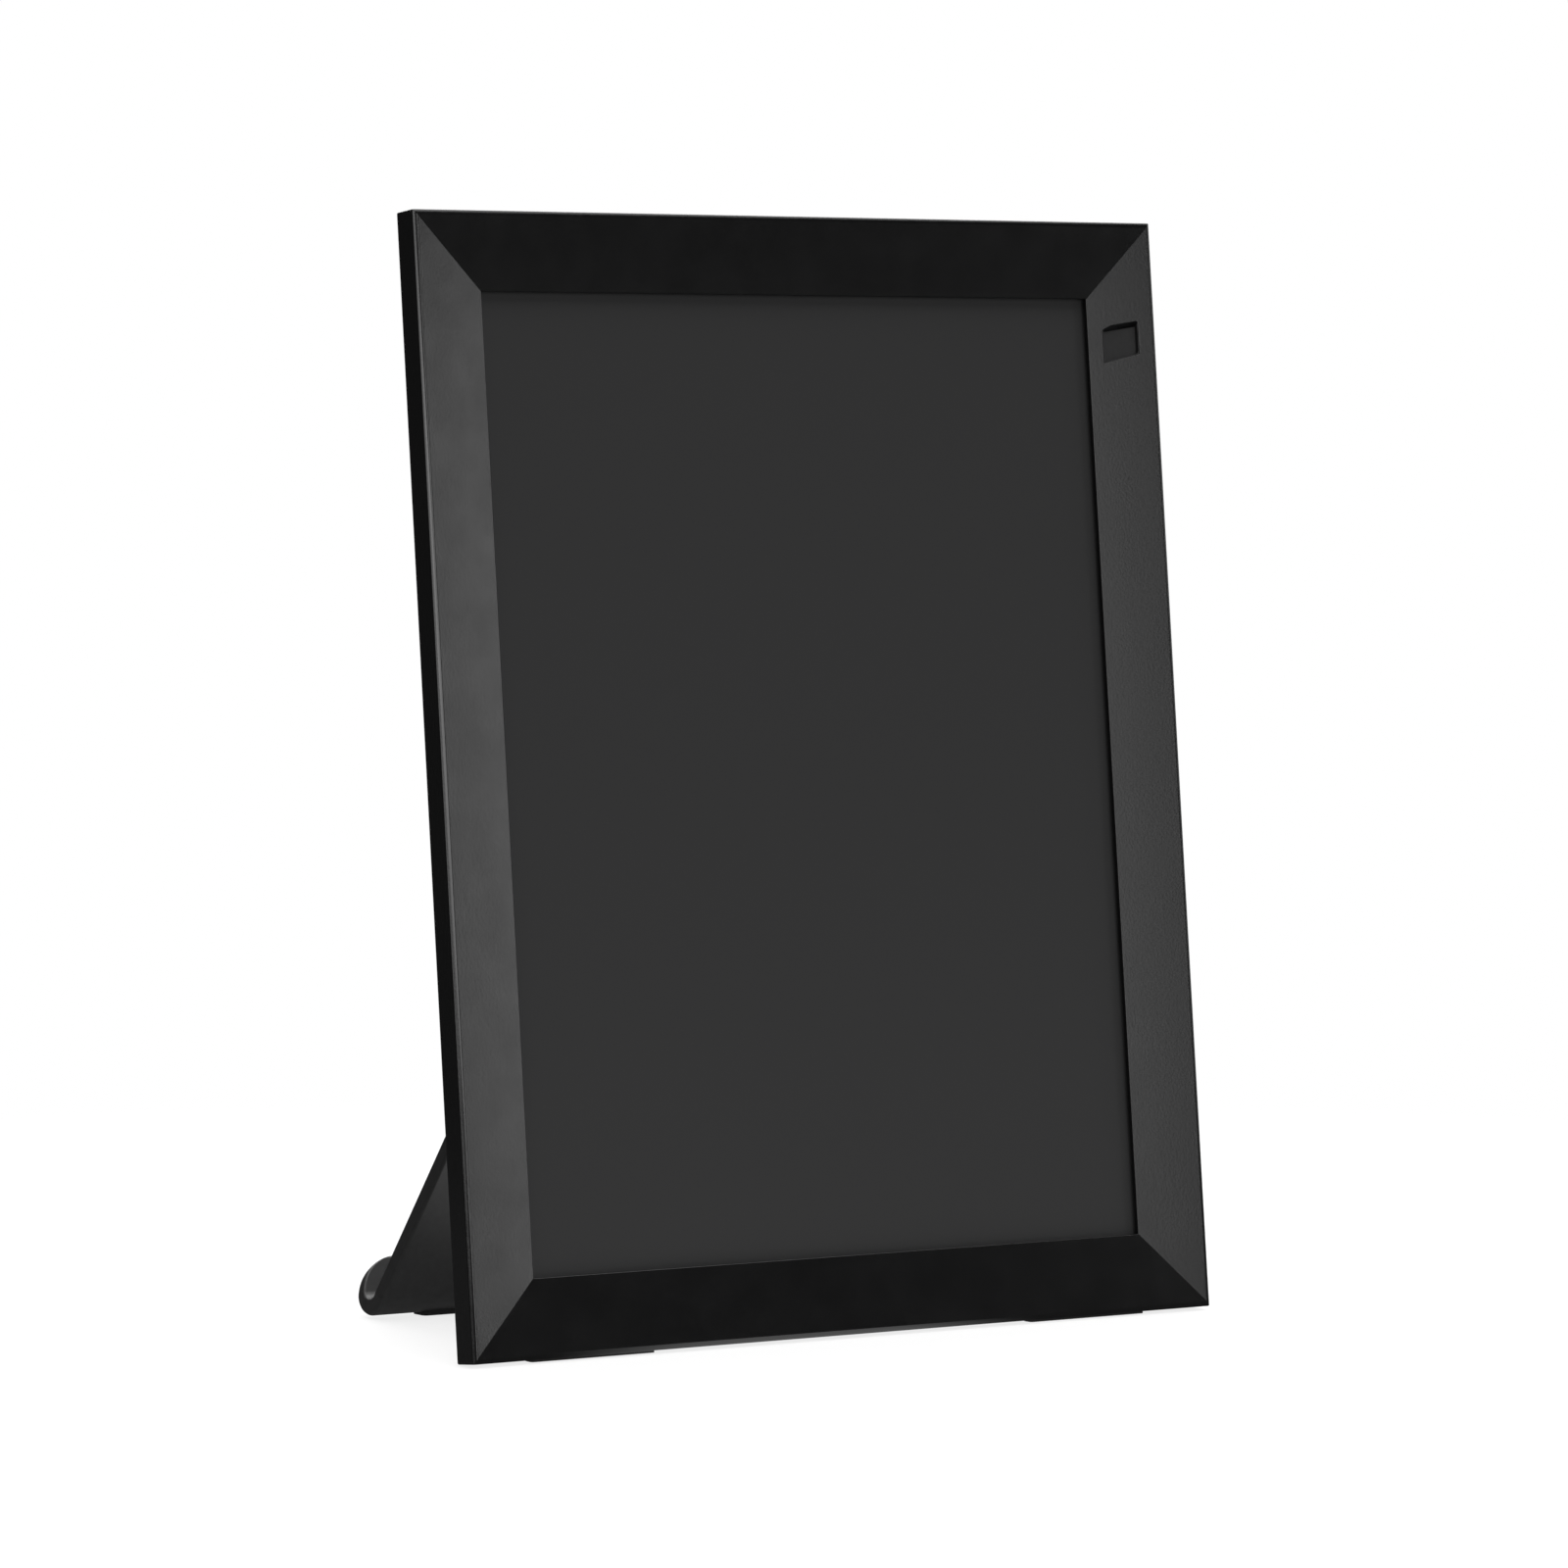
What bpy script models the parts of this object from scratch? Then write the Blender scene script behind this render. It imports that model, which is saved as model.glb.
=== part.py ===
"""Digital photo frame with a motion sensor, a swivelling fold-out stand and rear buttons.

Metres, +Z up, X to the right as seen from the front, +Y towards the back. The origin is on
the table under the middle of the object. The frame leans back on its bottom edge and on
the curled foot of the stand.

Frame coordinates: y = 0 is the back edge of the bezel's side wall, negative y is in front
of it, and z = 0 is the bezel's bottom edge.
"""

import math

import bmesh
import bpy
from mathutils import Matrix, Vector

MM = 0.001
GAP = 0.3 * MM
SCREW_SLACK = 0.1 * MM
FINE_GAP = 0.15 * MM

# Pose of the frame on the table
LEAN = math.radians(5.74)
EDGE_LIFT = 0.15 * MM
BACK_EDGE_Y = -33.13 * MM

# Bezel
BEZEL_W = 149.0 * MM
BEZEL_H = 189.8 * MM
BEZEL_DEPTH = 5.6 * MM
STRIP = 13.3 * MM
STRIP_RISE = 1.95 * MM
SIDE_WALL = 1.8 * MM
FACE_WALL = 1.5 * MM
LEDGE_Y = -2.75 * MM
LEDGE = 4.0 * MM
FACE_Y = -BEZEL_DEPTH
REACH_FRONT_Y = -8.0 * MM
REACH_BACK_Y = 2.0 * MM
BOSS_R = 2.2 * MM
BOSS_FRONT_Y = -3.9 * MM
BOSS_BACK_Y = 1.9 * MM
BOSS_PILOT_R = 1.0 * MM
BOSS_PILOT_Y = -2.6 * MM

# Sensor window in the right strip: its top and bottom edges rise to the right
SENSOR_W = 7.0 * MM
SENSOR_H = 5.9 * MM
SENSOR_X = BEZEL_W / 2 - 6.9 * MM
SENSOR_Z = BEZEL_H - 20.9 * MM
SENSOR_SLANT = math.radians(12.3)
SENSOR_FLOOR_Y = -3.8 * MM
WINDOW_BACK_Y = -2.35 * MM
FLANGE_FRONT_Y = -2.6 * MM
FLANGE_BACK_Y = -2.32 * MM
FLANGE_REACH = 1.2 * MM
SENSOR_CHIP_OFFSET = 1.3 * MM
SENSOR_CHIP_HALF = (1.8 * MM, 2.0 * MM)
SENSOR_CHIP_Y = (-2.1 * MM, -1.05 * MM)
SENSOR_BOARD_Y = (-0.9 * MM, -0.1 * MM)
SENSOR_BOARD_HALF_H = 11.0 * MM
SENSOR_BOARD_GAP = 0.5 * MM
SENSOR_CORNER = 0.4 * MM

# Display stack: the driver edge makes the module wider on its left
GLASS_Y = -2.15 * MM
PANEL_T = 1.2 * MM
BACKLIGHT_T = 1.8 * MM
TRAY_T = 0.5 * MM
TRAY_LEFT = -70.8 * MM
TRAY_RIGHT = 66.0 * MM
TRAY_BOTTOM = 8.9 * MM
TRAY_TOP = 180.9 * MM
TRAY_FRONT_Y = -1.2 * MM
TRAY_CORNER = 0.8 * MM
STACK_GAP = 0.2 * MM
GASKET_INSET = 0.6 * MM
GASKET_REACH = 3.2 * MM
GASKET_RIGHT_REACH = 1.6 * MM
GASKET_SLACK = 0.1 * MM
FLEX_ROUTE = ((64.0, 2.15), (80.0, 2.15), (88.0, 4.6), (98.0, 4.6))
FLEX_HALF_W = 15.0 * MM
FLEX_T = 0.25 * MM

# Rear cover, a shallow tray inside the bezel's side wall
COVER_BACK_Y = 3.8 * MM
COVER_T = 1.6 * MM
COVER_RIM_T = 1.2 * MM
COVER_RIM_Y = -1.0 * MM
COVER_W = BEZEL_W - 2 * SIDE_WALL - 2 * GAP
COVER_H = BEZEL_H - 2 * SIDE_WALL - 2 * GAP
COVER_SCREW_X = 60.0 * MM
COVER_SCREW_INSET = 6.0 * MM
COVER_EDGE = 0.5 * MM
COVER_CUT_Y = 6.0 * MM
COVER_ROOT = 0.4 * MM
COVER_WINDOW_HALF_W = 34.0 * MM
COVER_WINDOW_Z = (56.0 * MM, 106.0 * MM)
COVER_HOLE_R = 1.3 * MM
COVER_SEAT_R = 2.3 * MM
COVER_SEAT_DEPTH = 0.9 * MM
COVER_SCREW_HEAD = (2.0 * MM, 0.75 * MM)
COVER_SCREW_R = 0.85 * MM
COVER_SCREW_TIP_Y = -2.2 * MM
NOTCH_HALF_H = 12.0 * MM
NOTCH_BACK_Y = 0.6 * MM
POST_R = 3.2 * MM
POST_PILOT_R = 1.25 * MM
POST_PILOT_Y = 5.0 * MM
REST_X = 34.0 * MM
REST_Z = (50.0 * MM, 112.0 * MM)
REST_R = 2.5 * MM

# Electronics housing on the rear cover
HOUSING_W = 100.0 * MM
HOUSING_LOW_Z = 22.0 * MM
HOUSING_HIGH_Z = 150.0 * MM
HOUSING_FRONT_Y = COVER_BACK_Y + GAP
HOUSING_BACK_Y = 14.0 * MM
HOUSING_WALL = 1.8 * MM
HOUSING_DRAFT = 3.0 * MM
HOUSING_CORNER = 7.0 * MM
HOUSING_INNER_Y = HOUSING_BACK_Y - HOUSING_WALL
HOUSING_SCREW_X = 41.0 * MM
HOUSING_SCREW_Z = (31.0 * MM, 141.0 * MM)
HOUSING_EDGE = 0.8 * MM
HOUSING_OVERCUT = 2.0 * MM
HOUSING_HOLE_R = 1.5 * MM
HOUSING_SEAT_R = 3.0 * MM
HOUSING_SEAT_DEPTH = 1.1 * MM
HOUSING_SCREW_HEAD = (2.6 * MM, 0.9 * MM)
HOUSING_SCREW_R = 1.1 * MM
HOUSING_SCREW_TIP_Y = 5.6 * MM
WALL_CUT_Y = (11.0 * MM, 16.0 * MM)

# Boards: y is the face that the components sit on
BOARD_Y = 6.8 * MM
BOARD_T = 1.6 * MM
BOARD_TOP_Z = 128.0 * MM
MAIN_BOARD_X = (-38.0 * MM, 40.0 * MM)
MAIN_BOARD_LOW_Z = 42.0 * MM
BUTTON_BOARD_HALF_W = 34.0 * MM
BOARD_SPACING = 3.0 * MM
CHIP_LIFT = 0.2 * MM
CHIP_EDGE = 0.25 * MM

# Chips on the main board: name, x, z, width, height, thickness in millimetres
CHIPS = (
    ("processor", -16.0, 62.0, 14.0, 14.0, 1.3),
    ("memory_chip", 16.0, 52.0, 9.0, 12.0, 1.0),
    ("shield_can", -22.0, 108.0, 20.0, 16.0, 1.9),
)
ANTENNA_LOW = (-44.5 * MM, 7.4 * MM, 84.0 * MM)
ANTENNA_HIGH = (-39.5 * MM, 8.2 * MM, 124.0 * MM)

# Speakers behind slots in the housing
SPEAKER_X = 22.0 * MM
SPEAKER_Z = 36.5 * MM
SPEAKER_HALF_W = 10.0 * MM
SPEAKER_HALF_H = 8.0 * MM
SPEAKER_Y = (7.9 * MM, 11.8 * MM)
SPEAKER_CORNER = 1.5 * MM
SLOT_ROWS = 5
SLOT_PITCH = 3.2 * MM
SLOT_HALF_W = 7.0 * MM
SLOT_HALF_H = 0.6 * MM

# Sockets on the housing's right side: name, z, half height in z, low y, high y, depth in x
SOCKETS = (
    ("dc_inlet", 62.0 * MM, 4.2 * MM, 7.0 * MM, 11.8 * MM, 10.0 * MM),
    ("usb_port", 82.0 * MM, 4.0 * MM, 7.0 * MM, 9.8 * MM, 6.0 * MM),
    ("card_slot", 108.0 * MM, 13.0 * MM, 7.0 * MM, 9.6 * MM, 22.0 * MM),
)
SOCKET_MOUTH_X = 46.9 * MM
SOCKET_WALL = 0.35 * MM
SOCKET_BACK_WALL = 1.0 * MM
SIDE_CUT_X = (44.0 * MM, 52.0 * MM)
DC_CORNER = 0.4 * MM
DC_BORE_R = 1.75 * MM
DC_BORE_DEPTH = 8.0 * MM

# Buttons
BUTTON_NAMES = ("power", "menu", "left", "right", "enter", "back")
BUTTON_PITCH = 10.5 * MM
BUTTON_Z = 138.0 * MM
BUTTON_W = 7.0 * MM
BUTTON_H = 5.0 * MM
BUTTON_PROUD = 0.9 * MM
BUTTON_FLANGE_Y = 10.6 * MM
BUTTON_CORNER = 1.6 * MM
BUTTON_EDGE = 0.35 * MM
FLANGE_WIDER = 0.9 * MM
SWITCH_HALF = 2.5 * MM
SWITCH_BODY_Y = 9.1 * MM
SWITCH_TOP_Y = 9.9 * MM
PLUNGER_R = 1.3 * MM

# Stand hub: turns about the frame's normal through its centre
HUB_Z = BEZEL_W / 2
HUB_R = 29.0 * MM
HUB_BOSS_R = 13.6 * MM
HUB_HOLE_R = 14.0 * MM
HUB_FRONT_Y = HOUSING_BACK_Y + GAP
HUB_BACK_Y = 16.9 * MM
HUB_BOSS_END_Y = 11.7 * MM
HUB_SCREW_CIRCLE = 9.0 * MM
HUB_RIM = 1.2 * MM
HUB_WASHER = (14.3 * MM, 17.2 * MM, 11.75 * MM, 12.0 * MM)
HUB_RETAINER = (4.0 * MM, 17.5 * MM, 10.2 * MM, 11.5 * MM)
HUB_SCREW_HEAD = (1.9 * MM, 0.8 * MM)
HUB_SCREW_R = 0.8 * MM
HUB_SCREW_LENGTH = 5.0 * MM
HUB_SCREW_SEAT_Y = 10.05 * MM
HUB_PILOT_R = 0.95 * MM
HUB_PILOT_END_Y = 15.6 * MM
RETAINER_HOLE_R = 1.1 * MM

# Stand hinge
PIN_Y = 20.0 * MM
PIN_Z = 84.0 * MM
PIN_R = 1.2 * MM
PIN_BORE_R = 1.3 * MM
BARREL_R = 2.6 * MM
BARREL_HALF = 20.2 * MM
EAR_INNER = 21.0 * MM
EAR_T = 5.0 * MM
EAR_R = 4.2 * MM
EAR_ROOT = 0.5 * MM
WASHER_INNER_R = 1.35 * MM
WASHER_OUTER_R = 2.5 * MM
WASHER_T = 0.5 * MM

# Stand leg: a flared plate with a curled foot, in coordinates of its own plane
LEG_OPEN = math.radians(28.06)
LEG_T = 3.0 * MM
LEG_HALF_TOP = 34.0 * MM
LEG_HALF_FOOT = 55.0 * MM
CURL_R = 3.9 * MM
CURL_TURN = math.radians(125.7)
LIP = 6.8 * MM
LIP_CORNER = 9.5 * MM
NECK = 6.5 * MM
SHOULDER = 7.0 * MM
SOLE_LIFT = 0.45 * MM
LEG_EDGE = 0.5 * MM
LEG_EDGE_ANGLE = math.radians(50.0)

# Rubber pads
PAD_Z = 1.25 * MM
FOOT_PAD_W = 90.0 * MM
FOOT_PAD_D = 4.4 * MM
EDGE_PAD_X = 50.0 * MM
EDGE_PAD_W = 24.0 * MM
EDGE_PAD_D = 2.4 * MM
EDGE_PAD_H = 1.0 * MM
EDGE_PAD_INSET = 0.6 * MM
PAD_CORNER = 0.4 * MM
FOOT_PAD_CORNER = 0.8 * MM

LEG_WORLD_TILT = LEG_OPEN - LEAN
SMOOTH_ANGLE = math.radians(35.0)

# Materials: name, colour, roughness and, for metals, metallic
BLACK = ("black_satin_plastic", (0.018, 0.018, 0.019), 0.45)
BACK_BLACK = ("black_rear_plastic", (0.015, 0.015, 0.016), 0.55)
KEY = ("button_plastic", (0.03, 0.03, 0.032), 0.4)
SCREEN = ("display_front", (0.032, 0.032, 0.032), 0.3)
WINDOW = ("sensor_window_plastic", (0.022, 0.022, 0.022), 0.5)
DIFFUSER = ("backlight_sheet", (0.85, 0.86, 0.84), 0.5)
STEEL = ("steel_sheet", (0.55, 0.56, 0.57), 0.35, 1.0)
ZINC = ("zinc_screw", (0.45, 0.45, 0.46), 0.3, 1.0)
FOAM = ("black_foam", (0.02, 0.02, 0.02), 0.95)
BOARD_GREEN = ("circuit_board", (0.015, 0.09, 0.04), 0.5)
CHIP = ("chip_resin", (0.02, 0.02, 0.022), 0.6)
FLEX = ("flex_ribbon", (0.5, 0.28, 0.08), 0.45)
RUBBER = ("pad_rubber", (0.02, 0.02, 0.02), 0.85)
NYLON = ("washer_nylon", (0.7, 0.7, 0.66), 0.5)


def clear_scene():
    for old in list(bpy.data.objects):
        bpy.data.objects.remove(old, do_unlink=True)


def new_collection(name):
    collection = bpy.data.collections.new(name)
    bpy.context.scene.collection.children.link(collection)
    return collection


def new_empty(name, parent, location, rotation_x=0.0):
    empty = bpy.data.objects.new(name, None)
    empty.location = location
    empty.rotation_euler = (rotation_x, 0.0, 0.0)
    empty.parent = parent
    PARTS.objects.link(empty)
    return empty


def material(name, colour, roughness, metallic=0.0):
    made = bpy.data.materials.get(name)
    if made:
        return made
    made = bpy.data.materials.new(name)
    made.use_nodes = True
    shader = made.node_tree.nodes["Principled BSDF"]
    shader.inputs["Base Color"].default_value = (*colour, 1.0)
    shader.inputs["Roughness"].default_value = roughness
    shader.inputs["Metallic"].default_value = metallic
    return made


def place(name, mesh, parent, skin, location=(0.0, 0.0, 0.0), rotation=(0.0, 0.0, 0.0)):
    part = bpy.data.objects.new(name, mesh)
    part.location = location
    part.rotation_euler = rotation
    part.parent = parent
    if skin:
        part.data.materials.append(material(*skin))
        PARTS.objects.link(part)
    else:
        CUTTERS.objects.link(part)
        part.hide_render = True
        part.display_type = "WIRE"
    return part


def finish_mesh(name, shape, smooth=False):
    mesh = bpy.data.meshes.new(name)
    shape.to_mesh(mesh)
    shape.free()
    if smooth:
        mesh.shade_smooth()
        mesh.set_sharp_from_angle(angle=SMOOTH_ANGLE)
    return mesh


def block_shape(low, high):
    """A cube stretched between two corners."""
    low, high = Vector(low), Vector(high)
    shape = bmesh.new()
    stretch = Matrix.Diagonal((*(high - low), 1.0))
    bmesh.ops.create_cube(shape, size=1.0, matrix=Matrix.Translation((low + high) / 2) @ stretch)
    return shape


def draft_back(shape, inset):
    """Moves the corners of the +Y face inwards, so that the sides slope."""
    back_y = max(v.co.y for v in shape.verts)
    middle = sum((v.co for v in shape.verts), Vector()) / len(shape.verts)
    for vert in shape.verts:
        if vert.co.y > back_y - 1e-7:
            vert.co.x -= math.copysign(inset, vert.co.x - middle.x)
            vert.co.z -= math.copysign(inset, vert.co.z - middle.z)


def round_edges(shape, width, segments, chosen):
    edges = [edge for edge in shape.edges if chosen(edge)]
    bmesh.ops.bevel(shape, geom=edges, offset=width, segments=segments, profile=0.5, affect="EDGES")


def runs_deep(edge):
    """True for an edge that runs mostly along Y."""
    run = edge.verts[1].co - edge.verts[0].co
    return abs(run.y) > max(abs(run.x), abs(run.z))


def runs_up(edge):
    run = edge.verts[1].co - edge.verts[0].co
    return abs(run.z) > max(abs(run.x), abs(run.y))


def box(name, low, high, parent, skin, rounding=0.0, chosen=None, segments=2):
    shape = block_shape(low, high)
    if rounding:
        round_edges(shape, rounding, segments, chosen or (lambda edge: True))
    return place(name, finish_mesh(name, shape), parent, skin)


def rod(name, radius, start, end, parent, skin, segments=24):
    """A cylinder between two points."""
    start, end = Vector(start), Vector(end)
    turn = (end - start).to_track_quat("Z", "Y").to_matrix().to_4x4()
    shape = bmesh.new()
    bmesh.ops.create_cone(
        shape,
        cap_ends=True,
        segments=segments,
        radius1=radius,
        radius2=radius,
        depth=(end - start).length,
        matrix=Matrix.Translation((start + end) / 2) @ turn,
    )
    return place(name, finish_mesh(name, shape, smooth=True), parent, skin)


def turned(name, profile, centre, parent, skin, steps=32, closed=False):
    """A profile of (radius, y) turned about an axis along +Y through centre."""
    mesh = bpy.data.meshes.new(name)
    points = [(radius, 0.0, y) for radius, y in profile]
    edges = [(i, i + 1) for i in range(len(points) - 1)]
    if closed:
        edges.append((len(points) - 1, 0))
    mesh.from_pydata(points, edges, [])
    part = place(name, mesh, parent, skin, centre, (-math.pi / 2, 0.0, 0.0))
    screw = part.modifiers.new("turn", "SCREW")
    screw.axis = "Z"
    screw.steps = steps
    screw.render_steps = steps
    screw.use_merge_vertices = True
    screw.merge_threshold = 0.000001
    screw.use_smooth_shade = True
    return part


def ring(name, inner, outer, front, back, centre, parent, skin, steps=32):
    profile = [(outer, back), (outer, front), (inner, front), (inner, back)]
    return turned(name, profile, centre, parent, skin, steps, closed=True)


def combine(part, other, operation):
    modifier = part.modifiers.new(f"{operation.lower()}_{other.name}", "BOOLEAN")
    modifier.operation = operation
    modifier.solver = "EXACT"
    modifier.object = other


def cut(part, *cutters):
    for cutter in cutters:
        combine(part, cutter, "DIFFERENCE")


def join(part, *additions):
    for addition in additions:
        combine(part, addition, "UNION")


def screw_part(name, x, z, head, shank_r, head_y, tip_y, parent):
    """A pan-head screw driven from behind. head is (radius, height)."""
    head_r, head_t = head
    top = head_y + head_t
    profile = [
        (0.0, top),
        (head_r * 0.75, top),
        (head_r, top - head_t * 0.4),
        (head_r, head_y),
        (shank_r, head_y),
        (shank_r, tip_y + shank_r),
        (shank_r * 0.4, tip_y),
        (0.0, tip_y),
    ]
    return turned(name, profile, (x, 0.0, z), parent, ZINC, steps=16)


def sloped_face(shape, inset, rise):
    """Insets the -Y face and sinks it, which leaves four mitred sloping strips."""
    face = min(shape.faces, key=lambda f: f.calc_center_median().y)
    bmesh.ops.inset_region(shape, faces=[face], thickness=inset)
    for vert in face.verts:
        vert.co.y += rise


def build_bezel(frame):
    half_w, half_open = BEZEL_W / 2, BEZEL_W / 2 - STRIP
    shape = block_shape((-half_w, FACE_Y, 0.0), (half_w, 0.0, BEZEL_H))
    sloped_face(shape, STRIP, STRIP_RISE)
    bezel = place("front_bezel", finish_mesh("front_bezel", shape), frame, BLACK)

    low = (-half_w + SIDE_WALL, FACE_Y + FACE_WALL, SIDE_WALL)
    high = (half_w - SIDE_WALL, 1.0 * MM, BEZEL_H - SIDE_WALL)
    shape = block_shape(low, high)
    sloped_face(shape, STRIP - SIDE_WALL - LEDGE, LEDGE_Y - FACE_Y - FACE_WALL)
    hollow = place("bezel_hollow", finish_mesh("bezel_hollow", shape), frame, None)
    opening = box(
        "bezel_opening",
        (-half_open, REACH_FRONT_Y, STRIP),
        (half_open, REACH_BACK_Y, BEZEL_H - STRIP),
        frame,
        None,
    )
    sensor_hole = slanted_plug("sensor_hole", 0.0, REACH_FRONT_Y, REACH_BACK_Y, frame, None)
    cut(bezel, hollow, opening, sensor_hole)
    for x, z in cover_screw_places():
        boss_front, boss_back = (x, BOSS_FRONT_Y, z), (x, BOSS_BACK_Y, z)
        boss = rod("bezel_boss", BOSS_R, boss_front, boss_back, frame, None, 16)
        pilot_front, pilot_back = (x, BOSS_PILOT_Y, z), (x, BOSS_BACK_Y + 1.0 * MM, z)
        pilot = rod("bezel_pilot", BOSS_PILOT_R, pilot_front, pilot_back, frame, None, 12)
        join(bezel, boss)
        cut(bezel, pilot)
    for side in (-1, 1):
        cut(bezel, edge_pad_block(side, f"edge_pad_pocket_{side}", None, FINE_GAP))


def cover_screw_places():
    heights = (COVER_SCREW_INSET, BEZEL_H - COVER_SCREW_INSET)
    return [(side * COVER_SCREW_X, z) for z in heights for side in (-1, 1)]


def edge_pad_block(side, name, skin, margin=0.0):
    """A pad under the bezel's back-bottom edge, level with the table."""
    back_y = BACK_EDGE_Y - EDGE_PAD_INSET
    centre_x = side * EDGE_PAD_X
    low = (centre_x - EDGE_PAD_W / 2 - margin, back_y - EDGE_PAD_D - margin, -margin)
    high = (centre_x + EDGE_PAD_W / 2 + margin, back_y + margin, EDGE_PAD_H + margin)
    return box(name, low, high, None, skin, rounding=PAD_CORNER, chosen=runs_up)


def slanted_plug(name, clear, front, back, frame, skin):
    """The sensor opening's outline, clear smaller all round, from front to back."""
    half_w, half_h = SENSOR_W / 2 - clear, SENSOR_H / 2 - clear
    shape = block_shape(
        (SENSOR_X - half_w, front, SENSOR_Z - half_h),
        (SENSOR_X + half_w, back, SENSOR_Z + half_h),
    )
    round_edges(shape, SENSOR_CORNER, 2, runs_deep)
    for vert in shape.verts:
        vert.co.z += (vert.co.x - SENSOR_X) * math.tan(SENSOR_SLANT)
    return place(name, finish_mesh(name, shape), frame, skin)


def build_sensor(frame):
    """Window plug with a thin flange, then the sensor chip and its small board."""
    window = slanted_plug("sensor_window", FINE_GAP, SENSOR_FLOOR_Y, WINDOW_BACK_Y, frame, WINDOW)
    half_h = SENSOR_H / 2 + FLANGE_REACH
    flange = box(
        "window_flange",
        (SENSOR_X - SENSOR_W / 2 + 2 * FINE_GAP, FLANGE_FRONT_Y, SENSOR_Z - half_h),
        (SENSOR_X + SENSOR_W / 2 + FLANGE_REACH, FLANGE_BACK_Y, SENSOR_Z + half_h),
        frame,
        None,
    )
    join(window, flange)
    chip_x = SENSOR_X + SENSOR_CHIP_OFFSET
    half_x, half_z = SENSOR_CHIP_HALF
    front, back = SENSOR_CHIP_Y
    box(
        "motion_sensor",
        (chip_x - half_x, front, SENSOR_Z - half_z),
        (chip_x + half_x, back, SENSOR_Z + half_z),
        frame,
        CHIP,
        rounding=GAP,
    )
    front, back = SENSOR_BOARD_Y
    box(
        "sensor_board",
        (TRAY_RIGHT + SENSOR_BOARD_GAP, front, SENSOR_Z - SENSOR_BOARD_HALF_H),
        (BEZEL_W / 2 - SIDE_WALL - 2 * GAP, back, SENSOR_Z + SENSOR_BOARD_HALF_H),
        frame,
        BOARD_GREEN,
    )


def build_display(frame):
    """Foam gasket, display panel, backlight and the steel tray that holds them."""
    half_open = BEZEL_W / 2 - STRIP
    gasket = box(
        "display_gasket",
        (-half_open - GASKET_REACH, LEDGE_Y + GASKET_SLACK, STRIP - GASKET_REACH),
        (half_open + GASKET_RIGHT_REACH, GLASS_Y - GASKET_SLACK, BEZEL_H - STRIP + GASKET_REACH),
        frame,
        FOAM,
    )
    inside = box(
        "gasket_hole",
        (-half_open - GASKET_INSET, REACH_FRONT_Y, STRIP - GASKET_INSET),
        (half_open + GASKET_INSET, REACH_BACK_Y, BEZEL_H - STRIP + GASKET_INSET),
        frame,
        None,
    )
    cut(gasket, inside)

    edge = TRAY_T + GAP
    left, right = TRAY_LEFT + edge, TRAY_RIGHT - edge
    bottom, top = TRAY_BOTTOM + edge, TRAY_TOP - edge
    panel_back = GLASS_Y + PANEL_T
    box("display_panel", (left, GLASS_Y, bottom), (right, panel_back, top), frame, SCREEN)
    light_front = panel_back + STACK_GAP
    light_back = light_front + BACKLIGHT_T
    box("backlight", (left, light_front, bottom), (right, light_back, top), frame, DIFFUSER)
    floor_y = light_back + STACK_GAP
    tray = box(
        "display_tray",
        (TRAY_LEFT, TRAY_FRONT_Y, TRAY_BOTTOM),
        (TRAY_RIGHT, floor_y + TRAY_T, TRAY_TOP),
        frame,
        STEEL,
        rounding=TRAY_CORNER,
        chosen=runs_deep,
    )
    hollow = box(
        "tray_hollow",
        (TRAY_LEFT + TRAY_T, REACH_FRONT_Y, TRAY_BOTTOM + TRAY_T),
        (TRAY_RIGHT - TRAY_T, floor_y, TRAY_TOP - TRAY_T),
        frame,
        None,
    )
    cut(tray, hollow)


def build_flex(frame):
    """A folded ribbon from the back of the display up to the main board."""
    curve = bpy.data.curves.new("display_flex", "CURVE")
    curve.dimensions = "2D"
    curve.fill_mode = "BOTH"
    curve.extrude = FLEX_HALF_W
    outline = [(z * MM, y * MM) for z, y in FLEX_ROUTE]
    outline += [(z, y + FLEX_T) for z, y in reversed(outline)]
    spline = curve.splines.new("POLY")
    spline.points.add(len(outline) - 1)
    for point, (z, y) in zip(spline.points, outline):
        point.co = (z, y, 0.0, 1.0)
    spline.use_cyclic_u = True
    ribbon = bpy.data.objects.new("display_flex", curve)
    ribbon.rotation_euler = (0.0, -math.pi / 2, 0.0)
    ribbon.parent = frame
    curve.materials.append(material(*FLEX))
    PARTS.objects.link(ribbon)


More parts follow.
